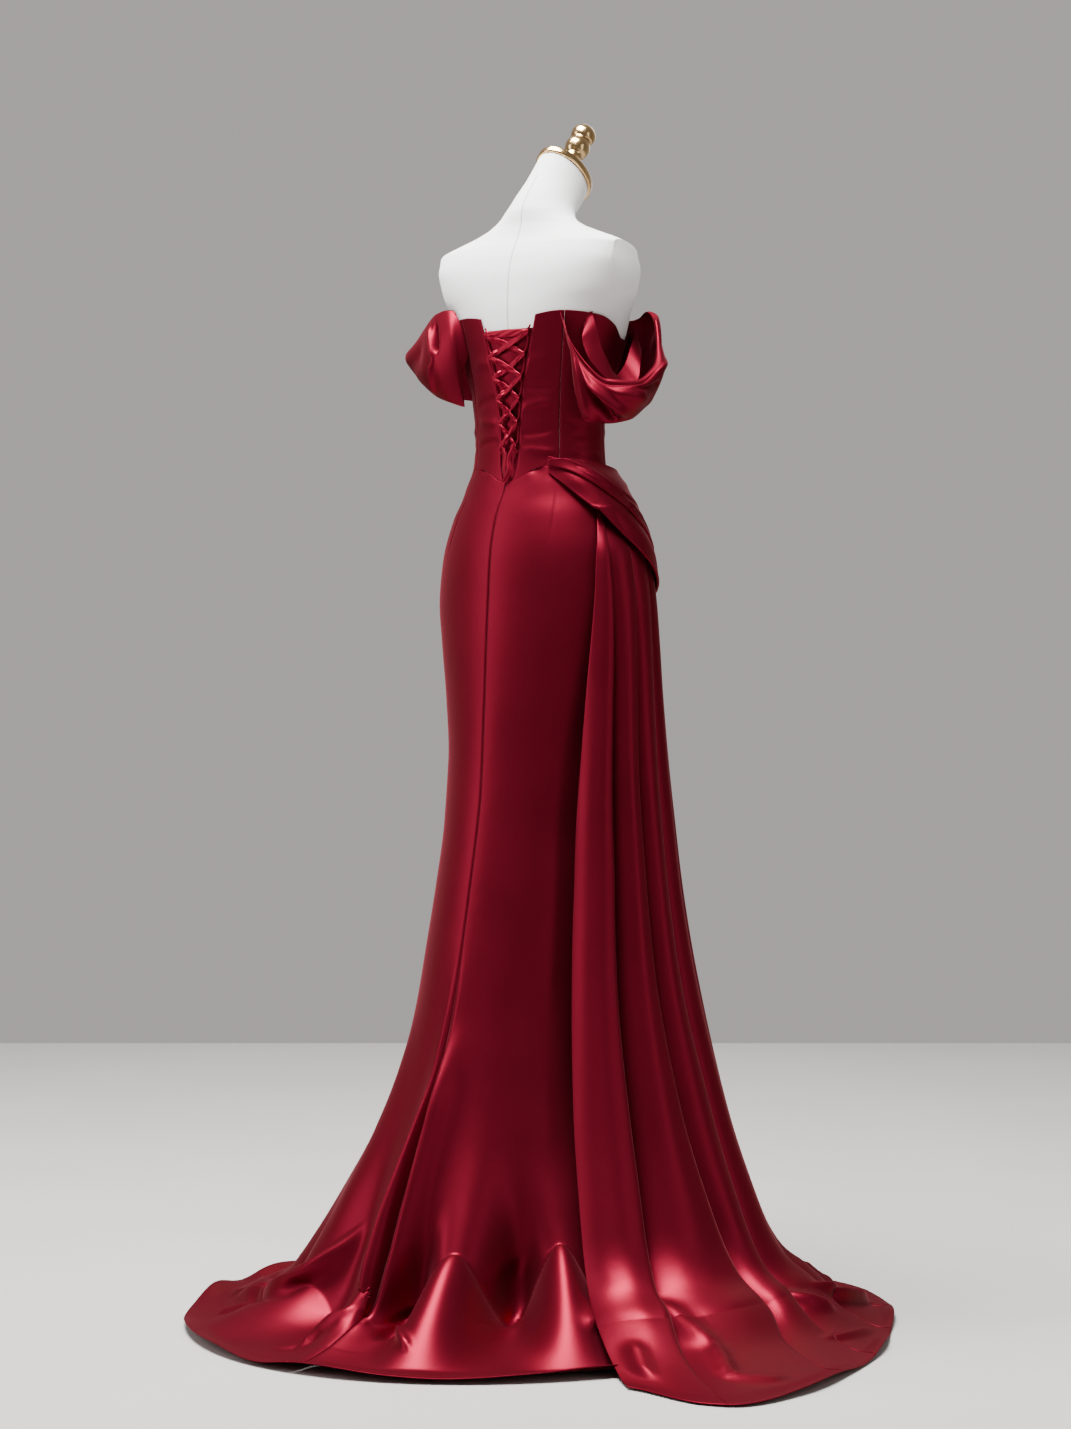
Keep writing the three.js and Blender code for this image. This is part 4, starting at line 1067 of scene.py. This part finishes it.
# Skirt: its darts, the pulls at its waist seam, its soft folds and those where it meets the floor
SKIRT_CREASES = table(
    CREASE,
    # darts in the back
    (-51, 0.034, -54, 0.160, 0.0022, -0.0016, 0, 0),
    (49, 0.040, 40, 0.142, 0.0016, -0.0012, 0, 0),
    # pulls at the waist seam
    (-46, 0.004, -6, 0.012, 0.0045, -0.0024, 0.003, 0),
    (-40, 0.012, -8, 0.022, 0.0040, 0.0016, 0.003, 0.4),
    (10, 0.006, 44, 0.008, 0.0040, -0.0020, -0.002, 0),
    # soft vertical folds in the flare
    (3, 0.780, -1, 1.420, 0.030, 0.006, 0, 0),
    (-28, 0.900, -26, 1.330, 0.034, 0.005, 0.004, 0),
    (26, 0.760, 24, 1.280, 0.036, -0.004, 0, 0),
    (44, 0.840, 50, 1.380, 0.030, 0.005, 0, 0),
    (-70, 0.900, -66, 1.400, 0.040, 0.006, 0, 0),
    (-88, 0.820, -92, 1.360, 0.036, -0.005, 0, 0),
    # the long fold that runs down into the train, sharp on its left
    (-3, 1.480, 3, 0.900, 0.040, 0.028, 0.004, 0.65),
    # pinched folds of the train on its left
    (-54, 1.550, -15, 1.250, 0.030, 0.026, -0.012, 0.65),
    (-22, 1.350, -46, 1.510, 0.018, -0.014, 0.010, 0),
    (-10, 1.540, -2, 1.405, 0.012, 0.014, 0.010, 0.5),
    (-5, 1.470, -12, 1.550, 0.010, -0.008, 0, 0),
    (-44, 1.440, -58, 1.560, 0.014, 0.010, 0.006, 0.4),
    (-36, 1.470, -42, 1.575, 0.009, 0.008, 0, 0.4),
    # the hollow between the two humps, and the small waves at their feet
    (28, 1.300, 28, 1.440, 0.020, -0.008, 0, 0),
    (7, 1.440, 15, 1.530, 0.011, 0.010, 0.008, 0.4),
    (6, 1.380, 5, 1.480, 0.012, -0.012, 0, 0),
    (48, 1.380, 44, 1.490, 0.015, 0.012, 0, 0.3),
    # folds of the train and the flare round both sides and the front
    (-120, 1.300, -130, 1.480, 0.030, 0.008, 0.010, 0.2),
    (-150, 1.340, -146, 1.500, 0.030, 0.007, 0.008, 0),
    (170, 1.320, 174, 1.500, 0.034, 0.008, 0.010, 0.2),
    (140, 1.340, 136, 1.500, 0.030, 0.007, 0.008, 0),
    (118, 1.300, 112, 1.480, 0.026, 0.007, 0.008, 0.2),
    (-165, 0.700, -168, 1.250, 0.034, 0.006, 0, 0),
    (160, 0.620, 162, 1.250, 0.036, -0.006, 0, 0),
    (130, 0.760, 128, 1.300, 0.030, 0.006, 0, 0),
    (-130, 0.660, -134, 1.260, 0.036, 0.006, 0, 0),
)
# Humps of the train: the cloth bridges the hollow where the hanging part meets the floor
SKIRT_HUMPS = table(
    "angle width start end share swell arch",
    (15.5, 8.5, 1.290, 1.565, 0.95, 0.014, 0.15),
    (40.5, 8.5, 1.280, 1.570, 0.95, 0.014, 0.15),
    (-5, 5, 1.330, 1.520, 0.60, 0.006, 0.12),
    (-24, 10, 1.375, 1.570, 0.55, 0.002, 0.10),
    (-48, 9, 1.370, 1.580, 0.75, 0.010, 0.10),
    (-76, 13, 1.350, 1.560, 0.60, 0.005, 0.09),
    (70, 11, 1.360, 1.550, 0.40, 0.002, 0.09),
    (96, 14, 1.370, 1.550, 0.50, 0.004, 0.07),
    (-112, 16, 1.320, 1.540, 0.65, 0.006, 0.09),
    (-147, 12, 1.370, 1.540, 0.55, 0.004, 0.07),
    (174, 17, 1.310, 1.540, 0.65, 0.006, 0.09),
    (139, 12, 1.360, 1.540, 0.55, 0.005, 0.07),
)
HUMP_SET = 0.42
HUMP_CUT = 0.1
HUMP_SPREAD = 1.5
# Sway of the centre back seam, where the hips push it over
BACK_SWAY = table(
    "run angle",
    (0.000, 0.0),
    (0.036, -1.3),
    (0.080, -3.9),
    (0.128, -4.8),
    (0.230, -4.2),
    (0.420, -2.5),
    (0.560, 0.0),
)
SWAY_SPREAD = 70
HEM_LIFT = 0.0105
HEM_WAVE = 0.0055
HEM_BAND = 0.05
HEM_LOW = 0.02
SEAM_DIP = 0.0014
SEAM_ROUND = 0.004
SEAM_FADE = 0.010

back_sway = column(BACK_SWAY, "run", "angle")


def skirt_rows():
    hips, flare, train = (0, 0.90, 0.0105), (0.90, 1.25, 0.0075), (1.25, SKIRT_LENGTH, 0.0042)
    runs = [np.arange(*part) for part in (hips, flare, train)]
    return np.concatenate((*runs, [SKIRT_LENGTH])) / SKIRT_LENGTH


# Waves of a hem, so many to a turn, which a slower wave crowds and spreads
def waves(angle, count, crowding, slower):
    heading = np.radians(angle)
    return np.sin(heading * count + crowding * np.sin(heading * slower))


# The skirt with its humps: each moves a share of the way to a straight line, and swells off it
def bridged(points, angle, run):
    for hump in SKIRT_HUMPS:
        aside = turn(angle - hump["angle"]) / hump["width"]
        start = hump["start"] + hump["arch"] * (1 - bell(aside, 1))
        share = (np.maximum(bell(aside, HUMP_SPREAD) - HUMP_CUT, 0) / (1 - HUMP_CUT))[..., None]
        t = np.clip((run - start) / np.maximum(hump["end"] - start, 0.02), 0, 1)[..., None]
        t = np.where(start[..., None] < hump["end"], t, 0)
        first = skirt_point(angle, np.minimum(start, hump["end"]) / SKIRT_LENGTH)
        last = skirt_point(angle, hump["end"] / SKIRT_LENGTH + 0 * angle)
        points = points + hump["share"] * share * (t > 0) * (t < 1) * (mix(first, last, t) - points)
        chord = last - first
        out = np.cross(chord, polar(angle - 90, 1, 0))
        out *= np.sign(out[..., 2:] + 1e-9) / np.maximum(length_of(out), 1e-6)
        points = points + hump["swell"] * share * np.sin(np.pi * t**HUMP_SET) ** 1.2 * out
    return points


# A gore of the skirt, with its hem lifted in waves and its seams drawn in
def skirt_panel(name, angles):
    start, end = angles[0], angles[-1]
    across = edged((angles - start) / (end - start), 0.3)
    down, across = grid(edged(skirt_rows(), SKIRT_LENGTH), across)
    angle = mix(start, end, across)
    down = mix(skirt_down(seam_z(angle)), 1, down)
    angle = angle + back_sway(down * SKIRT_LENGTH) * smooth(1 - np.abs(turn(angle)) / SWAY_SPREAD)
    points = bridged(skirt_point(angle, down), angle, down * SKIRT_LENGTH)
    to_hem = (1 - down) * SKIRT_LENGTH
    lift = (HEM_LIFT + HEM_WAVE * waves(angle, 11, 1.2, 5)) * smooth(1 - to_hem / HEM_BAND)
    points[..., 2] += np.where(points[..., 2] < HEM_LOW, lift, 0)
    to_seam = to_edge(spans(points, 1), 1)
    dip = SEAM_DIP * np.clip(1 - to_seam / SEAM_ROUND, 0, 1) ** 2
    pulls = creased(angle, down * SKIRT_LENGTH, reach_of(points), SKIRT_CREASES)
    relief = pulls * smooth(to_seam / SEAM_FADE) - dip
    return satin_piece(name, points, relief)


# Angles from the centre back to a side seam, closer together at the back
def back_angles(side):
    shares = np.linspace(0, 1, 150)
    return side * SIDE_SEAM * (shares + shares**1.6) / 2


skirt_back_right = skirt_panel("skirt_back_right", back_angles(1))
skirt_back_left = skirt_panel("skirt_back_left", back_angles(-1)[::-1])
skirt_front = skirt_panel("skirt_front", np.linspace(SIDE_SEAM, 360 - SIDE_SEAM, 90))

# Overskirt: its run goes on over the floor from the foot of the hanging part
TRAIL_LENGTH = 0.25
OVERSKIRT_CREASES = table(
    CREASE,
    # zigzag pinch by the back corner, and the flat triangle beside it
    (60, 1.290, 62, 1.450, 0.026, 0.014, 0, 0.6),
    (62.5, 1.420, 58.5, 1.530, 0.018, 0.014, 0, 0.6),
    (58, 1.505, 66, 1.560, 0.014, 0.009, 0, 0.5),
    (50, 1.400, 49, 1.540, 0.016, 0.010, 0, 0.4),
    # the roll along the far end, and the fold that leads into it
    (124, 1.575, 97, 1.345, 0.020, 0.024, 0, 0.5),
    (88, 1.320, 98, 1.450, 0.016, 0.012, 0, 0),
    (82, 1.480, 100, 1.560, 0.013, 0.007, 0.006, 0),
    (110, 1.400, 126, 1.520, 0.016, -0.010, 0, 0),
    # the same towards the front
    (128, 1.360, 134, 1.540, 0.020, 0.014, 0, 0.3),
    (140, 1.400, 143, 1.560, 0.016, 0.010, 0, 0),
)
RIDGE_FEET = (0.86, 1.70)
RIDGE_PULL = 0.50
TRAIL_HEM_LIFT = 0.007
TRAIL_HEM_WAVE = 0.005
TRAIL_HEM_START = 0.8


# Its folded ridges are drawn towards a straight line from the hanging part to the floor
def draped_overskirt():
    folds = np.linspace(FOLD_START, FOLD_END, 190)
    hanging = (np.arange(0, 0.75, 0.0085), np.arange(0.75, 1, 0.0055))
    rows = np.concatenate((*hanging, 1 + np.linspace(0, 1, 62) ** 1.15))
    share, fold = grid(edged(rows, 1.7), edged(folds, 0.9))
    trail = np.maximum(0, share - 1)
    run = (share - trail) * OVERSKIRT_LENGTH + trail * TRAIL_LENGTH
    first, last = RIDGE_FEET
    begin, finish = first * OVERSKIRT_LENGTH, OVERSKIRT_LENGTH + (last - 1) * TRAIL_LENGTH
    t = np.clip((run - begin) / (finish - begin), 0, 1)[..., None]
    ridge = 1 - fold_section["deep"](fold - np.floor(fold))[..., None]
    straight = mix(folded_overskirt(first + 0 * share, fold), folded_overskirt(last + 0 * share, fold), t)
    points = folded_overskirt(share, fold)
    window = smooth(2 * t) * smooth(2 * (1 - t))
    points = points + RIDGE_PULL * ridge * window * (straight - points)
    angle = angle_of(points)
    relief = creased(angle, run, reach_of(points), OVERSKIRT_CREASES)
    at_hem = smooth((trail - TRAIL_HEM_START) / (1 - TRAIL_HEM_START))
    points[..., 2] += (TRAIL_HEM_LIFT + TRAIL_HEM_WAVE * waves(angle, 13, 1.5, 4)) * at_hem
    return satin_piece("overskirt", points, relief)


overskirt_piece = draped_overskirt()

# Swags: each lower edge is turned under in a soft roll
TURN_UNDER = 0.0026
ROLL_SHARE = 0.14
ROLL_STEP = 0.02
ROLL_EVEN = 8
SWAG_CALM = 0.2
SWAG_CREASES = table(
    CREASE,
    (60, 1.385, 112, 1.320, 0.007, 0.0016, 0.004, 0.3),
    (72, 1.372, 124, 1.290, 0.008, -0.0016, 0.004, 0.2),
    (96, 1.360, 150, 1.340, 0.010, 0.0018, -0.006, 0.2),
    (120, 1.300, 168, 1.372, 0.009, -0.0016, -0.004, 0.2),
)


# Directions along an edge, evened out over their neighbours
def evened(row):
    weights = np.hanning(2 * ROLL_EVEN + 3)[1:-1]
    around = np.pad(row, ((0, 0), (ROLL_EVEN, ROLL_EVEN), (0, 0)), mode="edge")
    count = row.shape[1]
    row = sum(weight * around[:, i:i + count] for i, weight in enumerate(weights))
    return row / length_of(row)


# The cloth rolled inwards past its upper edge and its lower one
def rolled(place, share, across, rim, foot):
    points = place(np.clip(share, 0, 1), across)
    row = across[:1]
    for end, past, radius in ((0, -share, rim), (1, share - 1, foot)):
        edge = place(end + 0 * row, row)
        inside = place(abs(end - ROLL_STEP) + 0 * row, row)
        away = evened(edge - inside)
        aside = np.gradient(edge, axis=1)
        out = evened(np.cross(-away if end == 0 else away, aside))
        turned = (np.clip(past / ROLL_SHARE, 0, 1) * np.pi)[..., None]
        radius = np.broadcast_to(radius, row.shape)[..., None]
        points = points + radius * (away * np.sin(turned) - out * (1 - np.cos(turned)))
    return points


def swag_piece(name, place):
    share, across = grid(evenly(60, 0.12, 0, 1 + ROLL_SHARE), evenly(150, 0.4))
    angle = mix(SWAG_START, 180, across)
    foot = TURN_UNDER * (0.25 + 0.75 * swag_width(angle[:1]))
    points = rolled(place, share, across, 0, foot)
    relief = creased(angle, points[..., 2], reach_of(points), SWAG_CREASES)
    relief = relief * smooth((1 - share) / SWAG_CALM)
    return satin_piece(name, points, relief)


lower_swag = swag_piece("hip_swag_lower", lower_swag_point)
upper_swag = swag_piece("hip_swag_upper", upper_swag_point)


# Sleeves and straps are made on the wearer's right, and the left ones are mirrored point by point
def mirrored(points):
    return (points * np.array([-1, 1, 1]))[:, ::-1]


# Creases of the sleeves: percent of the length from back to front, and metres down from the rim
SLEEVE_LENGTH = 0.42
SLEEVE_DROP = 0.11
SLEEVE_ROLL = 0.0038
SLEEVE_SEWN = 0.12
ROLL_GROWS = 0.08
ROLL_CALM = 0.07
RIGHT_SLEEVE_CREASES = table(
    CREASE,
    (4, 0.014, 66, 0.018, 0.0070, -0.0050, 0, 0),
    (47, 0.108, 14, 0.034, 0.0130, 0.0100, -0.006, 0.6),
    (43, 0.116, 19, 0.056, 0.0080, -0.0150, -0.006, 0),
    (12, 0.036, 25, 0.114, 0.0080, 0.0080, 0, 0),
    (32, 0.030, 58, 0.100, 0.012, 0.0040, 0.004, 0),
    (44, 0.030, 66, 0.086, 0.010, -0.0050, 0.004, 0.3),
    (60, 0.020, 84, 0.090, 0.012, 0.0050, 0, 0.2),
    (72, 0.018, 93, 0.080, 0.010, -0.0045, 0, 0),
)
LEFT_SLEEVE_CREASES = table(
    CREASE,
    (24, 0.010, 25, 0.056, 0.0065, -0.0170, 0, 0),
    (30, 0.004, 28, 0.066, 0.0050, 0.0055, -0.002, 0),
    (27, 0.054, 38, 0.108, 0.0060, 0.0060, 0.004, 0.5),
    (34, 0.020, 50, 0.104, 0.0140, -0.0050, 0.004, 0),
    (52, 0.016, 70, 0.090, 0.012, 0.0045, 0, 0.2),
    (66, 0.014, 90, 0.080, 0.012, -0.0045, 0, 0),
)


def sleeve_piece(name, rows, creases, hand):
    share, across = grid(evenly(74, 0.14, -ROLL_SHARE, 1 + ROLL_SHARE), evenly(150, 0.5))
    from_end = np.minimum(across, 1 - across)
    away = smooth((from_end[:1] - SLEEVE_SEWN) / ROLL_GROWS)
    points = rolled(sleeve_point(rows), share, across, SLEEVE_ROLL * away, TURN_UNDER * away)
    percent = SLEEVE_LENGTH / np.radians(100)
    relief = creased(100 * across, SLEEVE_DROP * np.clip(share, 0, 1), percent, creases)
    relief = relief * smooth(from_end / SLEEVE_SEWN) * smooth(np.minimum(share, 1 - share) / ROLL_CALM)
    if hand < 0:
        points, relief = mirrored(points), relief[:, ::-1]
    return satin_piece(name, points, relief)


# The left strap hangs a little shorter, behind its sleeve
LEFT_STRAP_LIFT = 0.020
STRAP_RISE = 0.0005
STRAP_SEAT = 0.3
STRAP_HOLD = 1.2


def strap_piece(name, hand):
    down, across = grid(evenly(22, 0.03), evenly(90, 0.28))
    points = strap_point(down, across)
    highest = np.minimum(points[..., 2], bodice_top(np.abs(turn(angle_of(points)))) + STRAP_RISE)
    points[..., 2] = mix(points[..., 2], highest, smooth(STRAP_HOLD - across / STRAP_SEAT))
    if hand < 0:
        points = mirrored(points)
        points[..., 2] += LEFT_STRAP_LIFT * np.sin(np.pi * across)
    return satin_piece(name, points)


sleeve_right = sleeve_piece("sleeve_drape_right", RIGHT_SLEEVE, RIGHT_SLEEVE_CREASES, 1)
sleeve_left = sleeve_piece("sleeve_drape_left", LEFT_SLEEVE, LEFT_SLEEVE_CREASES, -1)
strap_right = strap_piece("sleeve_strap_right", 1)
strap_left = strap_piece("sleeve_strap_left", -1)

# The form's centre back seam
SEAM_GROOVE = 0.0009
SEAM_GROOVE_WIDTH = 0.0016
SEAM_TOP = 1.879
SEAM_LINE = 0.0011
SEAM_SHADE = 0.85


# Dress form: padded jersey over a smooth body, cut off at the armholes and closed there by a plate
def form_body():
    by_seam = np.linspace(0, 6, 10)
    spacing = np.concatenate((by_seam, np.linspace(9, 351, 100), 354 + by_seam[:-1]))
    trunk, shoulders, neck = (1.080, 1.66, 60), (1.665, 1.81, 70), (1.815, 1.885, 22)
    z, angle = grid(np.concatenate([np.linspace(*part) for part in (trunk, shoulders, neck)]), spacing)
    reach = form_reach(angle, z)
    groove = SEAM_GROOVE * bell(reach * np.radians(turn(angle)), SEAM_GROOVE_WIDTH)
    flat = polar(angle, reach - groove, 0)
    lean = np.radians(form["tilt"](z))
    points = np.stack(
        [flat[..., 0], form["cy"](z) + flat[..., 1] * np.cos(lean), z + flat[..., 1] * np.sin(lean)], axis=-1
    )
    mesh = bpy.data.meshes.new("form_body")
    mesh.from_pydata(points.reshape(-1, 3).tolist(), [], tube(*z.shape))
    mesh.materials.append(jersey)
    return put("form_body", mesh)


def only(thing):
    bpy.ops.object.select_all(action="DESELECT")
    thing.select_set(True)
    bpy.context.view_layer.objects.active = thing


def edit_all_of(thing):
    only(thing)
    bpy.ops.object.mode_set(mode="EDIT")
    bpy.ops.mesh.select_all(action="SELECT")


def leave_edit():
    bpy.ops.object.mode_set(mode="OBJECT")


def rounded(thing, width, segments, sharper_than):
    only(thing)
    bevel = thing.modifiers.new("edge", "BEVEL")
    bevel.width = width
    bevel.segments = segments
    bevel.limit_method = "ANGLE"
    bevel.angle_limit = np.radians(sharper_than)
    bpy.ops.object.modifier_apply(modifier="edge")


# Cuts a form away beyond a plane across X and closes the cut
def cut_at(thing, x, keep_inside):
    edit_all_of(thing)
    outer = (x > 0) == keep_inside
    bpy.ops.mesh.bisect(
        plane_co=(x, 0, 0), plane_no=(1, 0, 0), use_fill=True, clear_outer=outer, clear_inner=not outer
    )
    leave_edit()


def copy_of(thing, name):
    mesh = thing.data.copy()
    mesh.name = name
    return put(name, mesh)


# Rounds the rims of a padded piece and marks the seam down its centre back
def finish_jersey(thing, width):
    rounded(thing, width, 3, 40)
    bpy.ops.object.shade_smooth_by_angle(angle=np.radians(38))
    place = np.empty(len(thing.data.vertices) * 3)
    thing.data.vertices.foreach_get("co", place)
    x, y, z = place.reshape(-1, 3).T
    shade = SEAM_SHADE * bell(x, SEAM_LINE) * (y > 0) * (z < SEAM_TOP)
    seam = thing.data.attributes.new("seam", "FLOAT", "POINT")
    seam.data.foreach_set("value", shade.astype(np.float32))


def dress_form():
    body = form_body()
    for hand, side in (("right", -1), ("left", 1)):
        plate = copy_of(body, f"armhole_plate_{hand}_jersey")
        inner = ARM_PLANE + PART_GAP
        cut_at(plate, side * inner, False)
        cut_at(plate, side * (inner + ARM_PLATE), True)
        finish_jersey(plate, 0.0012)
        wear(plate, f"form_arm_plate_{hand}")
    cut_at(body, ARM_PLANE, True)
    cut_at(body, -ARM_PLANE, True)
    finish_jersey(body, 0.0015)
    body.name = "form_torso_jersey"
    wear(body, "form_torso")


dress_form()

# Neck cap and finial, turned and tilted with the neck
NECK_TOP = Vector((0, -0.067, 1.885))
CAP_RADIUS = 0.045
CAP_DEPTH = 0.060
CAP_HEIGHT = 0.013
CAP_RIM = 0.006
CAP_STEP = 0.003
CAP_RISE = 0.0006
ON_NECK = Matrix.Translation(NECK_TOP) @ Matrix.Rotation(np.radians(NECK_TILT), 4, "X")
FINIAL = table(
    "height radius",
    (0.0000, 0.0180),
    (0.0040, 0.0182),
    (0.0062, 0.0165),
    (0.0075, 0.0138),
    (0.0100, 0.0128),
    (0.0180, 0.0121),
    (0.0260, 0.0120),
    (0.0290, 0.0130),
    (0.0310, 0.0150),
    (0.0350, 0.0150),
    (0.0370, 0.0134),
    (0.0400, 0.0140),
    (0.0470, 0.0190),
    (0.0580, 0.0215),
    (0.0680, 0.0193),
    (0.0725, 0.0170),
    (0.0740, 0.0170),
    (0.0780, 0.0196),
    (0.0880, 0.0215),
    (0.0990, 0.0170),
    (0.1045, 0.0095),
    (0.1068, 0.0030),
    (0.1070, 0.0000),
)


def gilded(thing, node):
    bpy.ops.object.shade_smooth_by_angle(angle=np.radians(35))
    thing.name = node + "_gold"
    thing.data.materials.append(gold)
    wear(thing, node)


def neck_cap():
    bpy.ops.object.select_all(action="DESELECT")
    bpy.ops.mesh.primitive_cylinder_add(vertices=96, radius=CAP_RADIUS, depth=CAP_HEIGHT)
    cap = bpy.context.object
    edit_all_of(cap)
    bpy.ops.transform.resize(value=(1, CAP_DEPTH / CAP_RADIUS, 1))
    leave_edit()
    for face in cap.data.polygons:
        face.select = face.normal.z > 0.9
    bpy.ops.object.mode_set(mode="EDIT")
    bpy.ops.mesh.select_mode(type="FACE")
    bpy.ops.mesh.inset(thickness=CAP_RIM)
    bpy.ops.mesh.inset(thickness=CAP_STEP)
    bpy.ops.transform.translate(value=(0, 0, CAP_RISE))
    leave_edit()
    rounded(cap, 0.003, 5, 50)
    cap.data.transform(ON_NECK @ Matrix.Translation((0, 0, PART_GAP + CAP_HEIGHT / 2)))
    gilded(cap, "neck_cap")


def finial():
    mesh = bpy.data.meshes.new("finial_gold")
    fine = np.linspace(0, 1, 90)
    places = np.linspace(0, 1, len(FINIAL))
    height = np.interp(fine, places, [row["height"] for row in FINIAL])
    tip = [(row["height"], row["radius"]) for row in FINIAL[-2:]]
    radius = column(FINIAL[:-1], "height", "radius")(height)
    radius = np.where(height > tip[0][0], np.interp(height, *zip(*tip)), radius)
    points = [(0, 0, 0), *[(r, 0, h) for r, h in zip(radius, height)]]
    edges = [(i, i + 1) for i in range(len(points) - 1)]
    mesh.from_pydata(points, edges, [])
    turned = put("finial_gold", mesh)
    edit_all_of(turned)
    bpy.ops.mesh.spin(steps=64, angle=2 * np.pi, center=(0, 0, 0), axis=(0, 0, 1))
    bpy.ops.mesh.select_all(action="SELECT")
    bpy.ops.mesh.remove_doubles(threshold=0.00002)
    bpy.ops.mesh.normals_make_consistent(inside=False)
    leave_edit()
    turned.data.transform(ON_NECK @ Matrix.Translation((0, 0, 2 * PART_GAP + CAP_HEIGHT)))
    gilded(turned, "finial")


neck_cap()
finial()

# The pole and the base are the carried solids in a finish of their own
for name in ("pole", "base"):
    carried = bpy.data.objects[name]
    carried.data.materials.clear()
    carried.data.materials.append(steel)

# Floor, light and air: the floor ends where the photo's does, square to the view
FLOOR_SIZE = 24
FLOOR_END = 3.95
FLOOR_DROP = 0.0005
FLOOR_PLACE = (
    Matrix.Translation((0, 0, -FLOOR_DROP))
    @ Matrix.Rotation(np.radians(VIEW_TURN), 4, "Z")
    @ Matrix.Translation((0, FLOOR_SIZE / 2 - FLOOR_END, 0))
)
bpy.ops.object.select_all(action="DESELECT")
bpy.ops.mesh.primitive_plane_add(size=FLOOR_SIZE)
floor = bpy.context.object
floor.name = "floor"
floor.data.transform(FLOOR_PLACE)
floor.data.materials.append(pale_floor())


def soft_light(name, place, aim, size, power):
    data = bpy.data.lights.new(name, "AREA")
    data.shape = "RECTANGLE"
    data.size, data.size_y = size
    data.energy = power
    lamp = put(name, data)
    lamp.location = place
    lamp.rotation_euler = (Vector(aim) - Vector(place)).to_track_quat("-Z", "Y").to_euler()


soft_light("key_light", (0.3, 0.9, 4.7), (0, 0.1, 0.4), (2.8, 1.8), 760)
soft_light("side_light", (2.4, 2.9, 2.3), (-0.1, 0, 0.9), (1.2, 2.6), 56)
soft_light("fill_light", (-3.7, 0.3, 2.0), (0, 0, 0.9), (1.0, 2.8), 18)
soft_light("front_light", (1.0, -3.4, 3.2), (0, 0, 1.0), (2.0, 2.4), 26)


# The room's light rises along one direction, so it is lighter behind the dress than in front
def graded_room(behind, start, end, dark, light):
    f = Finish("room", bpy.data.worlds)
    place = f.node("ShaderNodeTexCoord")
    across = f.node("ShaderNodeVectorMath", {"operation": "DOT_PRODUCT"}, {0: place, 1: behind}, out=1)
    rise = {"Value": across, "From Min": start, "From Max": end, "To Min": dark, "To Max": light}
    strength = f.node("ShaderNodeMapRange", {"interpolation_type": "SMOOTHSTEP"}, rise)
    air = f.node("ShaderNodeBackground", sockets={"Color": ROOM_TINT, "Strength": strength})
    f.node("ShaderNodeOutputWorld", sockets={"Surface": air})
    return f.made


AWAY_FROM_VIEW = (np.sin(np.radians(VIEW_TURN)), -np.cos(np.radians(VIEW_TURN)), 0)
bpy.context.scene.world = graded_room(AWAY_FROM_VIEW, -0.3, 0.85, 0.24, 0.50)
